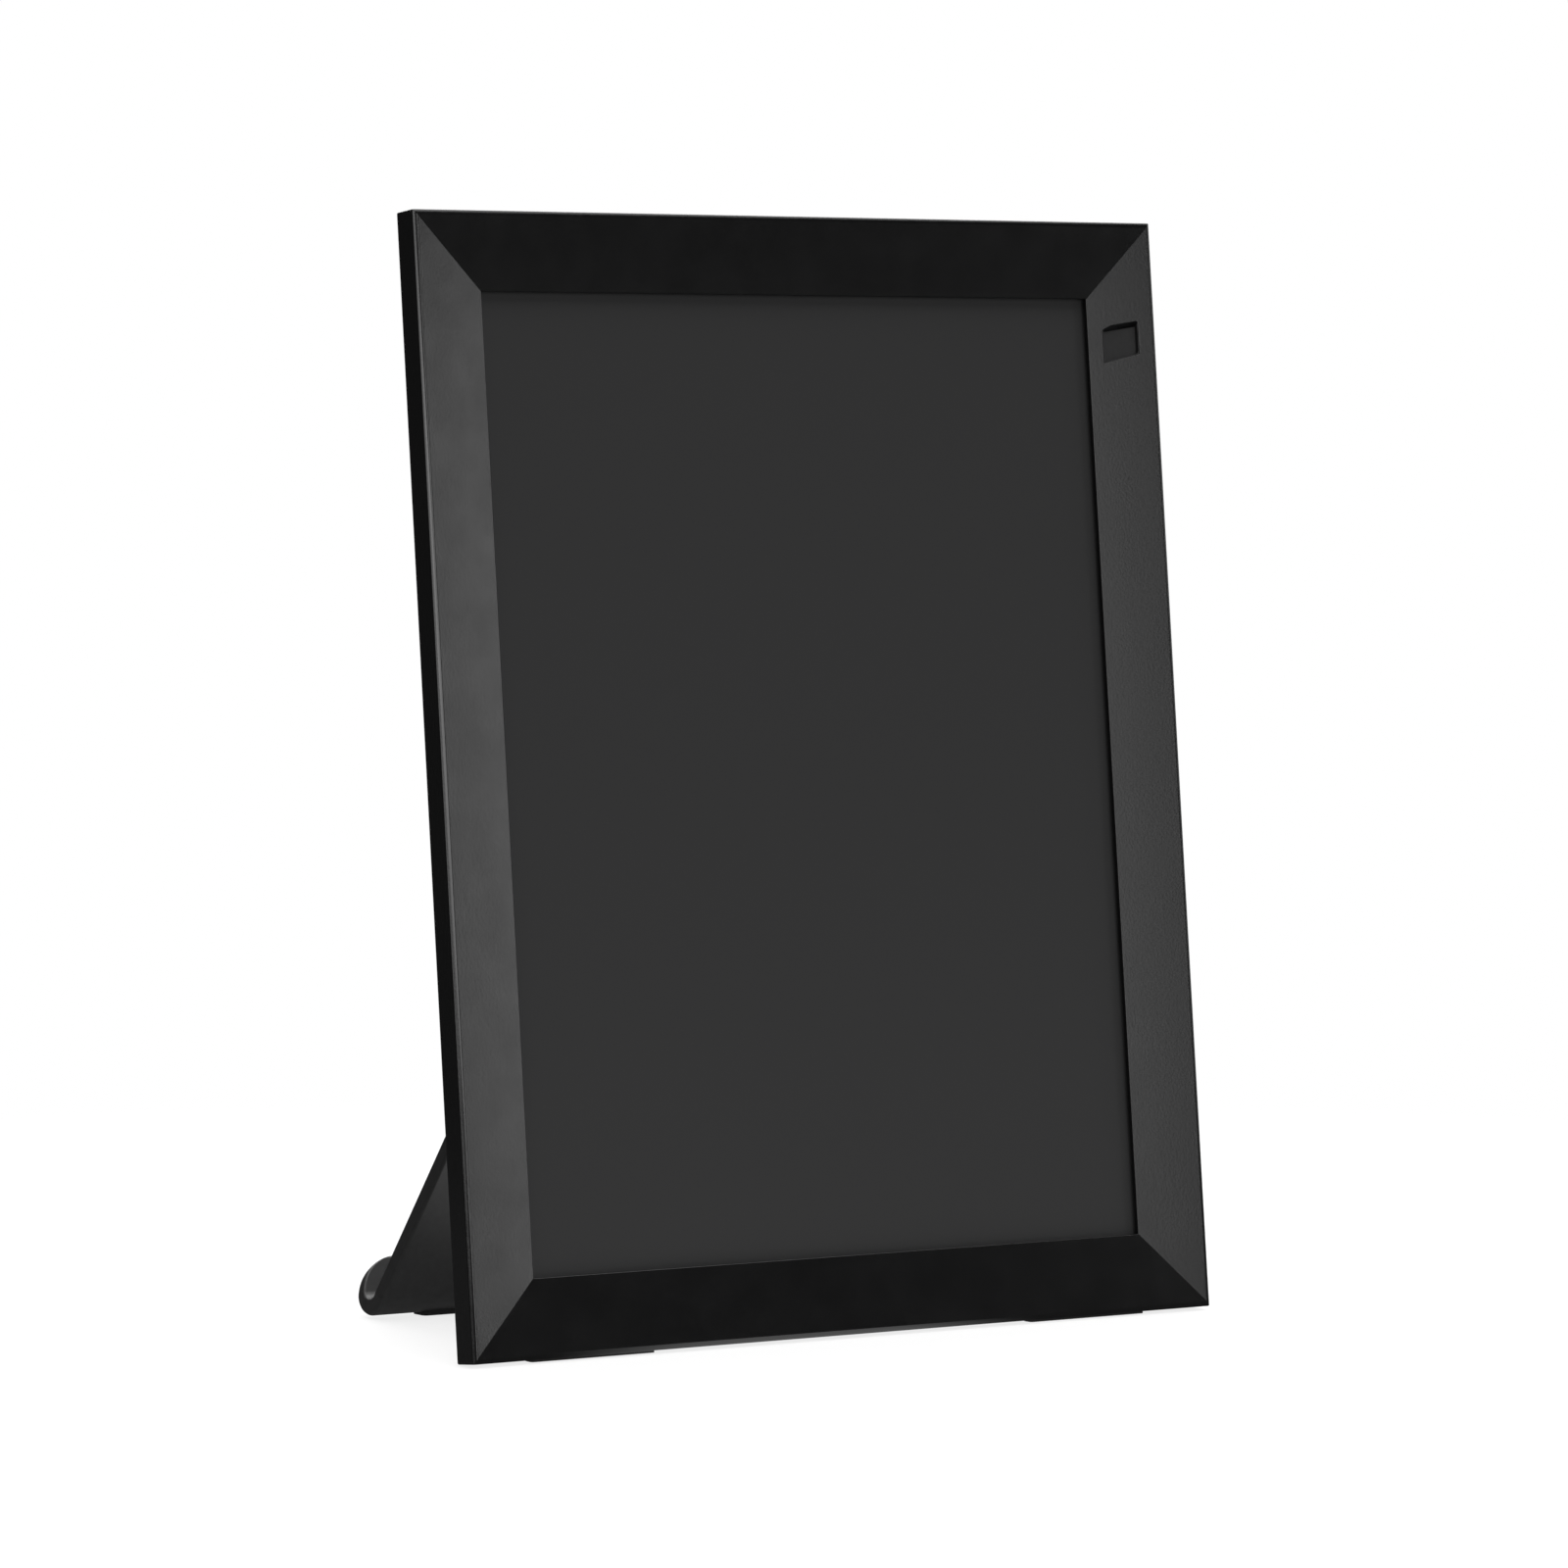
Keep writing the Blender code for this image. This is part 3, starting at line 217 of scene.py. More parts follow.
SHELL_SOCKETS = (("usb_port", 0.7 * MM, 5), ("card_slot", 0.5 * MM, 9))

# Rubber pads
PAD_CLEAR = 0.15 * MM
EDGE_PAD_CORNER = 0.6 * MM
EDGE_PAD_EDGE = 0.2 * MM
EDGE_POCKET_CORNER = 0.5 * MM
FOOT_PAD_CORNER = 1.0 * MM
FOOT_PAD_EDGE = 0.25 * MM

# Stand
HUB_Z = 74.5 * MM
HUB_R = 29.0 * MM
HUB_BOSS_R = 13.6 * MM
HUB_HOLE_R = 14.0 * MM
HUB_FRONT_Y = 14.3 * MM
HUB_BACK_Y = 16.9 * MM
HUB_BOSS_END_Y = 11.7 * MM
HUB_RIM = 1.2 * MM
HUB_GROOVE = (5.4 * MM, 5.1 * MM, 4.3 * MM, 4.0 * MM)
HUB_GROOVE_DEPTH = 0.3 * MM
HUB_SCREW_CIRCLE = 9.0 * MM
HUB_SCREWS = 3
PILOT_R = 0.95 * MM
PILOT_Y = (11.0 * MM, 15.6 * MM)
PIN_Y = 20.0 * MM
PIN_RISE = 9.5 * MM
PIN_R = 1.2 * MM
PIN_BORE_R = 1.3 * MM
PIN_EDGE = 0.25 * MM
PIN_SHORT = 0.2 * MM
BARREL_R = 2.6 * MM
BARREL_HALF = 20.2 * MM
BARREL_EDGE = 0.3 * MM
BARREL_CUT = 5.0 * MM
EAR_INNER = 21.0 * MM
EAR_OUTER = 26.0 * MM
EAR_R = 4.2 * MM
EAR_ROOT = 1.0 * MM
EAR_EDGE = 0.5 * MM
LEG_OPEN = math.radians(28.06)
LEG_T = 3.0 * MM
LEG_HALF_TOP = 34.0 * MM
LEG_HALF_FOOT = 55.0 * MM
LEG_STRAIGHT = 83.6 * MM
CURL_R = 3.9 * MM
CURL_TURN = math.radians(125.7)
LIP = 6.8 * MM
LIP_CORNER = 9.5 * MM
NECK = 6.5 * MM
SHOULDER = 7.0 * MM
LEG_CORNER = 0.6 * MM
LEG_CORNER_SHARE = 0.45
LEG_THINNING = 0.42
LEG_TIP = 0.7 * MM
LEG_TIP_BLUNT = 0.35
LEG_SHARP = 40.0
STATION_GAP = 0.012 * MM

HUB = TILT @ Matrix.Translation((0.0, 0.0, HUB_Z))
PIVOT = HUB @ Matrix.Translation((0.0, PIN_Y, PIN_RISE)) @ Matrix.Rotation(LEG_OPEN, 4, "X")

# Materials. Noise scales are in cycles per metre
WHITE = (1.0, 1.0, 1.0, 1.0)
NOISE_SPAN = (0.3, 0.7)
MOTTLE_SCALE = 900.0
CLOUD_SCALE = 160.0
GLOSS_DRIFT = 0.02
STREAK_SCALE = 1500.0
STREAK_GLOSS = (-0.07, 0.09)
STREAK_SHADE = 0.85
STREAK_DEPTH = 0.004 * MM
SCREEN_COLOUR = (0.0272, 0.0272, 0.0274)
SCREEN_ROUGHNESS = 0.5
SCREEN_SPECULAR = 0.1
SCREEN_DRIFT = 0.01
SCREEN_DRIFT_SCALE = 40.0
SPARKLE_SCALE = 9000.0
SPARKLE_DEPTH = 0.0015 * MM
# How dark the bottom of a pit is painted, and how far from its centre the painted shade reaches
PIT_PAINTED_SHADE = 0.6
PIT_EDGE = 0.6
MASK_COLOUR = (0.010, 0.070, 0.030)
MASK_LIGHT = (0.012, 0.080, 0.034)
MASK_TRACK = (0.030, 0.150, 0.060)
MASK_ROUGHNESS = 0.35
TRACK_SCALE = 180.0
TRACK_WIDTH = 0.03
TRACK_DEPTH = 0.02 * MM

# Floor, room and lights. In reflections the floor is dark, but for one bright spot
FLOOR_RADIUS = 1.6
FLOOR_FADE = (0.22, 0.42)
FLOOR_COLOUR = (0.22, 0.22, 0.22)
FLOOR_ROUGHNESS = 0.9
FLOOR_SPECULAR = 0.1
FLOOR_FILL = 0.8
FLOOR_IN_GLOSS = 0.08
BRIGHT_SPOT = (-0.01, -0.03, 0.0)
BRIGHT_SPOT_FADE = (0.02, 0.052)
SPOT_IN_GLOSS = 1.5
ROOM_GLOW = 0.045
ROOM_WHITE = 1.0
LIGHT_AIM = (0.0, -0.02, 0.09)
# Name, azimuth, elevation, distance, width, height, radiance
SOFTBOXES = (
    ("right_side", 50.0, 5.2, 2.0, 0.36, 0.62, 2.65),
    ("right_front", 15.5, 7.6, 2.0, 0.36, 0.62, 2.6),
    ("left_edge", 0.0, 7.0, 2.0, 0.62, 0.9, 3.6),
    ("right_edge", 77.0, 8.0, 2.0, 0.3, 0.7, 1.4),
    ("low_front", 34.0, -5.0, 2.0, 0.5, 0.22, 0.2),
    ("overhead", 20.0, 78.0, 1.6, 2.0, 2.0, 3.0),
    ("front", -20.0, 14.0, 2.0, 1.2, 0.8, 2.2),
    ("rear_fill", 150.0, 40.0, 1.8, 1.5, 1.0, 5.0),
    ("rear_side", 115.0, 20.0, 2.0, 0.8, 1.0, 3.0),
)

# Camera
LENS = 166.9
FILM_WIDTH = 36.0
CAMERA_AZIMUTH = math.radians(-32.94)
CAMERA_TILT = math.radians(90.0 - 2.73)
CAMERA_PLACE = (-0.6742, -1.0573, 0.152)
CAMERA_CLIP = (0.05, 20.0)

# Tolerances, the first four in metres, and the weight of large faces in the shading
FLAT = 1e-7
ON_AXIS = 1e-9
MERGE = 1e-6
NEAR = 2e-6
PARALLEL = 0.99
NORMAL_WEIGHT = 50


# ---- mesh tools


def local_box(node, place=TILT):
    """A CAD node's lowest and highest corners in the coordinates of a part of the frame."""
    back = place.inverted()
    points = [back @ v.co for v in NODES[node].data.vertices]
    low = Vector([min(p[i] for p in points) for i in range(3)])
    high = Vector([max(p[i] for p in points) for i in range(3)])
    return low, high


def block(low, high):
    low, high = Vector(low), Vector(high)
    shape = bmesh.new()
    stretch = Matrix.Diagonal((*(high - low), 1.0))
    bmesh.ops.create_cube(shape, size=1.0, matrix=Matrix.Translation((low + high) / 2) @ stretch)
    return shape


def bevel(shape, width, segments, chosen):
    edges = [edge for edge in shape.edges if chosen(edge)]
    bmesh.ops.bevel(
        shape, geom=edges, offset=width, segments=segments, profile=0.5, affect="EDGES", clamp_overlap=True
    )
    return shape


def runs_along(axis):
    def chosen(edge):
        run = edge.verts[1].co - edge.verts[0].co
        return abs(run[axis]) > PARALLEL * run.length

    return chosen


def plate(low, high, corner, back_edge=0.0, front_edge=0.0, steps=6, axis=1):
    """A slab with rounded corners about one axis and softened rims on its two faces."""
    shape = block(low, high)
    if corner:
        bevel(shape, corner, steps, runs_along(axis))
    for rim, level in ((back_edge, high[axis]), (front_edge, low[axis])):
        if rim:
            bevel(shape, rim, 3, lambda edge: all(abs(v.co[axis] - level) < FLAT for v in edge.verts))
    return shape


def cylinder(radius, start, end, segments=32, rim=0.0):
    start, end = Vector(start), Vector(end)
    turn = (end - start).to_track_quat("Z", "Y").to_matrix().to_4x4()
    shape = bmesh.new()
    place = Matrix.Translation((start + end) / 2) @ turn
    bmesh.ops.create_cone(
        shape, cap_ends=True, segments=segments, radius1=radius, radius2=radius, depth=(end - start).length
    )
    if rim:
        flat = (end - start).length / 2 - FLAT
        bevel(shape, rim, 3, lambda edge: abs(sum(v.co.z for v in edge.verts)) > 2 * flat)
    bmesh.ops.transform(shape, matrix=place, verts=shape.verts)
    return shape


def lathe(profile, steps=64):
    """A profile of (radius, y) turned about +Y. It starts and ends at radius 0, on one vertex."""
    shape = bmesh.new()
    rings = []
    for radius, y in profile:
        if radius < ON_AXIS:
            rings.append([shape.verts.new((0.0, y, 0.0))] * steps)
            continue
        ring = []
        for step in range(steps):
            angle = 2 * math.pi * step / steps
            ring.append(shape.verts.new((radius * math.cos(angle), y, radius * math.sin(angle))))
        rings.append(ring)
    for one, two in zip(rings, rings[1:]):
        for step in range(steps):
            after = (step + 1) % steps
            corners = [one[step], one[after], two[after], two[step]]
            face = list(dict.fromkeys(corners))
            if len(face) > 2:
                shape.faces.new(face)
    bmesh.ops.recalc_face_normals(shape, faces=shape.faces)
    return shape


def loft(rings):
    """Quads between successive closed rings of points, with a face over each end."""
    shape = bmesh.new()
    made = [[shape.verts.new(point) for point in ring] for ring in rings]
    for one, two in zip(made, made[1:]):
        for i in range(len(one)):
            j = (i + 1) % len(one)
            shape.faces.new((one[i], one[j], two[j], two[i]))
    shape.faces.new(made[0])
    shape.faces.new(list(reversed(made[-1])))
    bmesh.ops.recalc_face_normals(shape, faces=shape.faces)
    return shape


def prism(points, low_y, high_y):
    """A flat outline of (x, z) points given a thickness along Y."""
    rings = [[(x, y, z) for x, z in points] for y in (low_y, high_y)]
    return loft(rings)


def moved(shape, matrix):
    bmesh.ops.transform(shape, matrix=matrix, verts=shape.verts)
    return shape


def as_mesh(name, shape):
    mesh = bpy.data.meshes.new(name)
    shape.to_mesh(mesh)
    shape.free()
    return mesh


def as_object(name, data):
    made = bpy.data.objects.new(name, data)
    bpy.context.scene.collection.objects.link(made)
    return made


def together(*shapes):
    """Several separate shapes in one mesh."""
    joined = bmesh.new()
    for shape in shapes:
        mesh = as_mesh("part", shape)
        joined.from_mesh(mesh)
        bpy.data.meshes.remove(mesh)
    return joined


def temporary(shape):
    return as_object("temporary", as_mesh("temporary", shape))


def evaluated(thing):
    depsgraph = bpy.context.evaluated_depsgraph_get()
    mesh = bpy.data.meshes.new_from_object(thing.evaluated_get(depsgraph))
    shape = bmesh.new()
    shape.from_mesh(mesh)
    bpy.data.meshes.remove(mesh)
    return shape


def discard(thing):
    mesh = thing.data
    bpy.data.objects.remove(thing)
    bpy.data.meshes.remove(mesh)


def carve(shape, tool, operation="DIFFERENCE"):
    base, other = temporary(shape), temporary(tool)
    modifier = base.modifiers.new("carve", "BOOLEAN")
    modifier.operation = operation
    modifier.solver = "EXACT"
    modifier.object = other
    result = evaluated(base)
    discard(base)
    discard(other)
    bmesh.ops.remove_doubles(result, verts=result.verts, dist=MERGE)
    bmesh.ops.dissolve_degenerate(result, edges=result.edges, dist=MERGE)
    return result


def weighted_bevel(shape, groups, segments=3):
    """Rounds groups of edges, each (width, chosen), in one pass so that their corners meet."""
    widest = max(width for width, _ in groups)
    layer = shape.edges.layers.float.new("bevel_weight_edge")
    for width, chosen in groups:
        for edge in shape.edges:
            if edge[layer] == 0.0 and chosen(edge):
                edge[layer] = width / widest
    thing = temporary(shape)
    modifier = thing.modifiers.new("soften", "BEVEL")
    modifier.limit_method = "WEIGHT"
    modifier.width = widest
    modifier.segments = segments
    modifier.use_clamp_overlap = False
    modifier.miter_outer = "MITER_SHARP"
    result = evaluated(thing)
    discard(thing)
    return result


def piece(name, shape, skin, body, place=TILT, nodes=(), sharp=35.0):
    """Makes a finished piece that rides on a body and stands for CAD nodes. sharp is in degrees."""
    moved(shape, place)
    for face in shape.faces:
        face.material_index = 0
    mesh = as_mesh(name, shape)
    mesh.materials.clear()
    mesh.materials.append(skin)
    mesh.shade_smooth()
    mesh.set_sharp_from_angle(angle=math.radians(sharp))
    made = as_object(name, mesh)
    weighted = made.modifiers.new("normals", "WEIGHTED_NORMAL")
    weighted.keep_sharp = True
    weighted.weight = NORMAL_WEIGHT
    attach(made, body)
    if nodes:
        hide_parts(*nodes)


# ---- materials


def new_material(name, colour, roughness, metallic=0.0, specular=0.5):
    made = bpy.data.materials.new(name)
    made.use_nodes = True
    shader = made.node_tree.nodes["Principled BSDF"]
    shader.inputs["Base Color"].default_value = (*colour, 1.0)
    shader.inputs["Roughness"].default_value = roughness
    shader.inputs["Metallic"].default_value = metallic
    shader.inputs["Specular IOR Level"].default_value = specular
    return made, made.node_tree, shader


def shader_node(tree, kind, inputs=(), **settings):
    """A node of a kind, with its own settings and a value or a link for each named input."""
    made = tree.nodes.new(kind)
    for name, value in settings.items():
        setattr(made, name, value)
    for socket, value in dict(inputs).items():
        if isinstance(value, bpy.types.NodeSocket):
            tree.links.new(value, made.inputs[socket])
        else:
            made.inputs[socket].default_value = value
    return made


def own_coordinates(tree):
    return shader_node(tree, "ShaderNodeTexCoord").outputs["Object"]


def noise(tree, scale, detail=2.0, stretch=None):
    """Noise over the piece's own coordinates."""
    where = own_coordinates(tree)
    if stretch:
        where = shader_node(tree, "ShaderNodeMapping", {"Vector": where, "Scale": stretch}).outputs["Vector"]
    made = shader_node(tree, "ShaderNodeTexNoise", {"Vector": where, "Scale": scale, "Detail": detail})
    return made.outputs["Fac"]


def ramp(tree, factor, stops):
    made = shader_node(tree, "ShaderNodeValToRGB", {"Fac": factor})
    elements = made.color_ramp.elements
    for element, (position, colour) in zip(elements, stops):
        element.position = position
        element.color = (*colour, 1.0)
    return made.outputs["Color"]


def spread(tree, factor, low, high):
    """Carries the middle of a noise onto a range of values."""
    inputs = {"Value": factor, "To Min": low, "To Max": high}
    inputs["From Min"], inputs["From Max"] = NOISE_SPAN
    return shader_node(tree, "ShaderNodeMapRange", inputs).outputs["Result"]


def bump(tree, shader, height, depth):
    made = shader_node(tree, "ShaderNodeBump", {"Height": height, "Distance": depth, "Strength": 1.0})
    tree.links.new(made.outputs["Normal"], shader.inputs["Normal"])


def tones(tree, factor, low, high, shader):
    """Colours a shader by the middle of a noise."""
    colours = ramp(tree, factor, ((NOISE_SPAN[0], low), (NOISE_SPAN[1], high)))
    tree.links.new(colours, shader.inputs["Base Color"])


def moulded(name, colour, roughness, grain_scale, grain_depth, specular=0.5, drift=0.12):
    """Moulded plastic: a fine spark-eroded grain, with faint drifts in tone and gloss."""
    made, tree, shader = new_material(name, colour, roughness, specular=specular)
    dark = [c * (1.0 - drift) for c in colour]
    light = [c * (1.0 + drift) for c in colour]
    tones(tree, noise(tree, MOTTLE_SCALE, detail=4.0), dark, light, shader)
    cloud = noise(tree, CLOUD_SCALE, detail=3.0)
    gloss = spread(tree, cloud, roughness - GLOSS_DRIFT, roughness + GLOSS_DRIFT)
    tree.links.new(gloss, shader.inputs["Roughness"])
    bump(tree, shader, noise(tree, grain_scale), grain_depth)
    return made


def metal(name, colour, roughness, stretch):
    """Brushed metal whose streaks run where the stretch is least."""
    made, tree, shader = new_material(name, colour, roughness, metallic=1.0)
    streaks = noise(tree, STREAK_SCALE, detail=3.0, stretch=stretch)
    gloss = spread(tree, streaks, roughness + STREAK_GLOSS[0], roughness + STREAK_GLOSS[1])
    tree.links.new(gloss, shader.inputs["Roughness"])
    tones(tree, streaks, [c * STREAK_SHADE for c in colour], colour, shader)
    bump(tree, shader, streaks, STREAK_DEPTH)
    return made


def screen_film():
    """The display's matt film: an even dark grey with a very fine sparkle."""
    made, tree, shader = new_material(
        "screen_film", SCREEN_COLOUR, SCREEN_ROUGHNESS, specular=SCREEN_SPECULAR
    )
    bump(tree, shader, noise(tree, SPARKLE_SCALE, detail=1.0), SPARKLE_DEPTH)
    drift = noise(tree, SCREEN_DRIFT_SCALE)
    gloss = spread(tree, drift, SCREEN_ROUGHNESS - SCREEN_DRIFT, SCREEN_ROUGHNESS + SCREEN_DRIFT)
    tree.links.new(gloss, shader.inputs["Roughness"])
    return made


def pitted(name, colour, roughness, scale, depth):
    """Foam or rubber: a soft pitted surface, with painted shade darkening the colour towards the bottom of
    each pit.
    """
    made, tree, shader = new_material(name, colour, roughness)
    where = own_coordinates(tree)
    pits = shader_node(tree, "ShaderNodeTexVoronoi", {"Vector": where, "Scale": scale}).outputs["Distance"]
    bump(tree, shader, pits, depth)
    # Painted shade: the colour darkens towards the bottom of each pit
    dark = [c * PIT_PAINTED_SHADE for c in colour]
    tree.links.new(ramp(tree, pits, ((0.0, dark), (PIT_EDGE, colour))), shader.inputs["Base Color"])
    return made


def board_mask():
    """Green solder mask with lighter tracks under it."""
    made, tree, shader = new_material("board_mask", MASK_COLOUR, MASK_ROUGHNESS)
    upright = {"Vector": own_coordinates(tree), "Rotation": (math.pi / 2, 0.0, 0.0)}
    tracks = shader_node(tree, "ShaderNodeTexBrick", {
        "Vector": shader_node(tree, "ShaderNodeMapping", upright).outputs["Vector"],
        "Scale": TRACK_SCALE,
        "Mortar Size": TRACK_WIDTH,
        "Color1": (*MASK_COLOUR, 1.0),
        "Color2": (*MASK_LIGHT, 1.0),
        "Mortar": (*MASK_TRACK, 1.0),
    })
    tree.links.new(tracks.outputs["Color"], shader.inputs["Base Color"])
    bump(tree, shader, tracks.outputs["Fac"], TRACK_DEPTH)
    return made


# Moulded skins: colour, roughness, scale and depth of the grain
BEZEL_SKIN = moulded("bezel_plastic_skin", (0.0034, 0.0034, 0.0035), 0.18, 2600.0, 0.006 * MM)
LEG_SKIN = moulded("leg_plastic_skin", (0.022, 0.022, 0.0222), 0.42, 2600.0, 0.006 * MM)
REAR_SKIN = moulded("rear_plastic_skin", (0.0130, 0.0130, 0.0134), 0.42, 1500.0, 0.022 * MM)
KEY_SKIN = moulded("key_plastic_skin", (0.016, 0.016, 0.017), 0.3, 4000.0, 0.002 * MM)
WINDOW_SKIN = moulded(
    "window_plastic_skin", (0.0135, 0.0135, 0.0137), 0.5, 3500.0, 0.004 * MM, specular=0.25
)
SCREEN_SKIN = screen_film()
SOCKET_SKIN = moulded("socket_plastic_skin", (0.012, 0.012, 0.0125), 0.45, 3000.0, 0.003 * MM)
INK_SKIN = moulded("symbol_ink_skin", (0.42, 0.42, 0.43), 0.55, 6000.0, 0.002 * MM, drift=0.06)
CHIP_SKIN = moulded("chip_resin_skin", (0.020, 0.020, 0.022), 0.6, 5000.0, 0.004 * MM)
DIFFUSER_SKIN = moulded("diffuser_skin", (0.82, 0.83, 0.81), 0.5, 3000.0, 0.002 * MM, drift=0.02)
NYLON_SKIN = moulded("nylon_skin", (0.68, 0.67, 0.62), 0.45, 2500.0, 0.003 * MM, drift=0.04)
FLEX_SKIN = moulded("flex_skin", (0.46, 0.25, 0.07), 0.4, 1200.0, 0.003 * MM, drift=0.08)
# Metals: colour, roughness, and how the streaks are squeezed along x, y and z
STEEL_SKIN = metal("steel_skin", (0.56, 0.56, 0.57), 0.3, (1.0, 1.0, 12.0))
ZINC_SKIN = metal("zinc_skin", (0.36, 0.36, 0.38), 0.33, (1.0, 6.0, 1.0))
GOLD_SKIN = metal("contact_skin", (0.78, 0.58, 0.27), 0.25, (6.0, 1.0, 1.0))
# Pitted skins: colour, roughness, scale and depth of the pits
RUBBER_SKIN = pitted("rubber_skin", (0.012, 0.012, 0.012), 0.8, 2200.0, 0.02 * MM)
FOAM_SKIN = pitted("foam_skin", (0.018, 0.018, 0.018), 0.95, 3000.0, 0.06 * MM)
BOARD_SKIN = board_mask()


# ---- bezel and display


def near(value, target, tolerance=NEAR):
    return abs(value - target) < tolerance


def side_inset(point):
    """How far a point is in from the bezel's left or right side."""
    return BEZEL_W / 2 - abs(point.x)


def end_inset(point):
    """How far a point is in from the bezel's bottom or top end."""
    return min(point.z, BEZEL_H - point.z)


def bezel_inset(point):
    return min(side_inset(point), end_inset(point))


def ring_round(profile):
    """A closed section of (inset, y) carried round the bezel's rectangle, with mitred corners."""
    shape = bmesh.new()
    loops = []
    for inset, y in profile:
        x, low, high = BEZEL_W / 2 - inset, inset, BEZEL_H - inset
        corners = ((-x, low), (x, low), (x, high), (-x, high))
        loops.append([shape.verts.new((cx, y, cz)) for cx, cz in corners])
    for one, two in zip(loops, loops[1:] + loops[:1]):
        for i in range(4):
            j = (i + 1) % 4
            shape.faces.new((one[i], one[j], two[j], two[i]))
    bmesh.ops.recalc_face_normals(shape, faces=shape.faces)
    return shape


def both(edge, test):
    return all(test(v.co) for v in edge.verts)


def on_chamfer(edge):
    """True for the two long edges of the chamfer round the bezel's front."""

    def outer(p):
        return near(p.y, FACE_Y + CHAMFER_BACK) and near(bezel_inset(p), 0.0)

    return both(edge, outer) or both(edge, lambda p: near(bezel_inset(p), CHAMFER_IN))


def on_outer_back(edge):
    return both(edge, lambda p: near(p.y, 0.0) and near(bezel_inset(p), 0.0))


def on_inner_front(edge):
    return both(edge, lambda p: near(p.y, FACE_Y + STRIP_RISE) and near(bezel_inset(p), STRIP))


def on_corner(edge):
    return both(edge, lambda p: near(side_inset(p), 0.0) and near(end_inset(p), 0.0))


def on_mitre(edge):
    if not both(edge, lambda p: near(side_inset(p), end_inset(p)) and p.y < FACE_Y + STRIP_RISE + MERGE):
        return False
    return edge.calc_length() > STRIP / 2


def on_inner_corner(edge):
    return both(edge, lambda p: near(side_inset(p), STRIP) and near(end_inset(p), STRIP))


def strip_surface(x):
    """The y of a side strip's sloping face."""
    return FACE_Y + STRIP_RISE * (BEZEL_W / 2 - abs(x)) / STRIP


def sensor_ring(depth, shrink=0.0, over=0.0):
    """The sensor opening's outline at a depth below the strip. over lifts its top edge."""
    points = []
    sunk = min(1.0, depth / SENSOR_DEPTH)
    half_w, half_h = SENSOR_HALF_W - shrink, SENSOR_HALF_H - shrink
    for across, up in rounded_outline(half_w, half_h, SENSOR_CORNER, steps=4):
        x = SENSOR_X + across
        share = (across / SENSOR_HALF_W + 1.0) / 2
        visor = VISOR_LEFT + (VISOR_RIGHT - VISOR_LEFT) * share
        lifted = max(0.0, up / SENSOR_HALF_H) * (over - sunk * visor)
        z = SENSOR_Z + up + SENSOR_SLOPE * across + lifted
        points.append((x, strip_surface(x) + depth, z))
    return points


def build_bezel():
    profile = (
        (0.0, 0.0),
        (0.0, FACE_Y + CHAMFER_BACK),
        (CHAMFER_IN, FACE_Y + STRIP_RISE * CHAMFER_IN / STRIP),
        (STRIP, FACE_Y + STRIP_RISE),
        (STRIP, LEDGE_Y),
        (STRIP - LEDGE, LEDGE_Y),
        (SIDE_WALL, FACE_Y + FACE_WALL),
        (SIDE_WALL, 0.0),
    )
    shape = ring_round(profile)
    hole = loft([sensor_ring(depth) for depth in (SENSOR_CUT_FRONT, SENSOR_DEPTH, SENSOR_CUT_BACK)])
    shape = carve(shape, hole)
    for node in ("edge_pad_left", "edge_pad_right"):
        shape = carve(shape, pad_pocket(node, EDGE_POCKET_CORNER, TILT))

    def on_sensor_rim(edge):
        def rim(p):
            across, up = abs(p.x - SENSOR_X), abs(p.z - SENSOR_Z)
            beside = across < SENSOR_HALF_W + 5 * NEAR and up < SENSOR_RIM_REACH
            return beside and near(p.y, strip_surface(p.x), 2.5 * NEAR)

        return both(edge, rim) and edge.is_manifold and edge.calc_face_angle() > SENSOR_RIM_ANGLE

    groups = (
        (CHAMFER_EDGE, on_chamfer),
        (CORNER_EDGE, on_corner),
        (OUTER_BACK_EDGE, on_outer_back),
        (INNER_FRONT_EDGE, on_inner_front),
        (MITRE_EDGE, on_mitre),
        (INNER_CORNER_EDGE, on_inner_corner),
        (SENSOR_RIM_EDGE, on_sensor_rim),
    )
    shape = weighted_bevel(shape, groups, segments=4)
    nodes = ["front_bezel"]
    piece("bezel_shell", shape, BEZEL_SKIN, "frame", nodes=nodes, sharp=BEZEL_SHARP)


def build_sensor():
    """A shallow tray of window plastic whose floor lies parallel to the strip."""
    low, high = local_box("sensor_window")
    tray_depths = (WINDOW_FRONT, SENSOR_DEPTH, WINDOW_BACK)
    shape = loft([sensor_ring(depth, WINDOW_CLEAR) for depth in tray_depths])
    recess_depths = (RECESS_FRONT, SENSOR_DEPTH)
    shape = carve(shape, loft([sensor_ring(depth, WINDOW_WALL, RECESS_LIFT) for depth in recess_depths]))
    flange = block((low.x + 2 * WINDOW_WALL, FLANGE_Y[0], low.z), (high.x, FLANGE_Y[1], high.z))
    shape = together(shape, flange)
    piece("sensor_lens", shape, WINDOW_SKIN, "frame", nodes=["sensor_window"])


def build_display():
    low, high = local_box("display_panel")
    shape = plate(low, high, GLASS_CORNER, front_edge=GLASS_EDGE)
    piece("display_glass", shape, SCREEN_SKIN, "frame", nodes=["display_panel"])


# ---- rear cover and housing


def screw_places():
    """The (x, z) of the rear cover's screws and of the housing's."""
    heights = (COVER_SCREW_INSET, BEZEL_H - COVER_SCREW_INSET)
    cover = [(side * COVER_SCREW_X, z) for z in heights for side in (-1, 1)]
    housing = [(side * HOUSING_SCREW_X, z) for z in HOUSING_SCREW_Z for side in (-1, 1)]
    return cover, housing


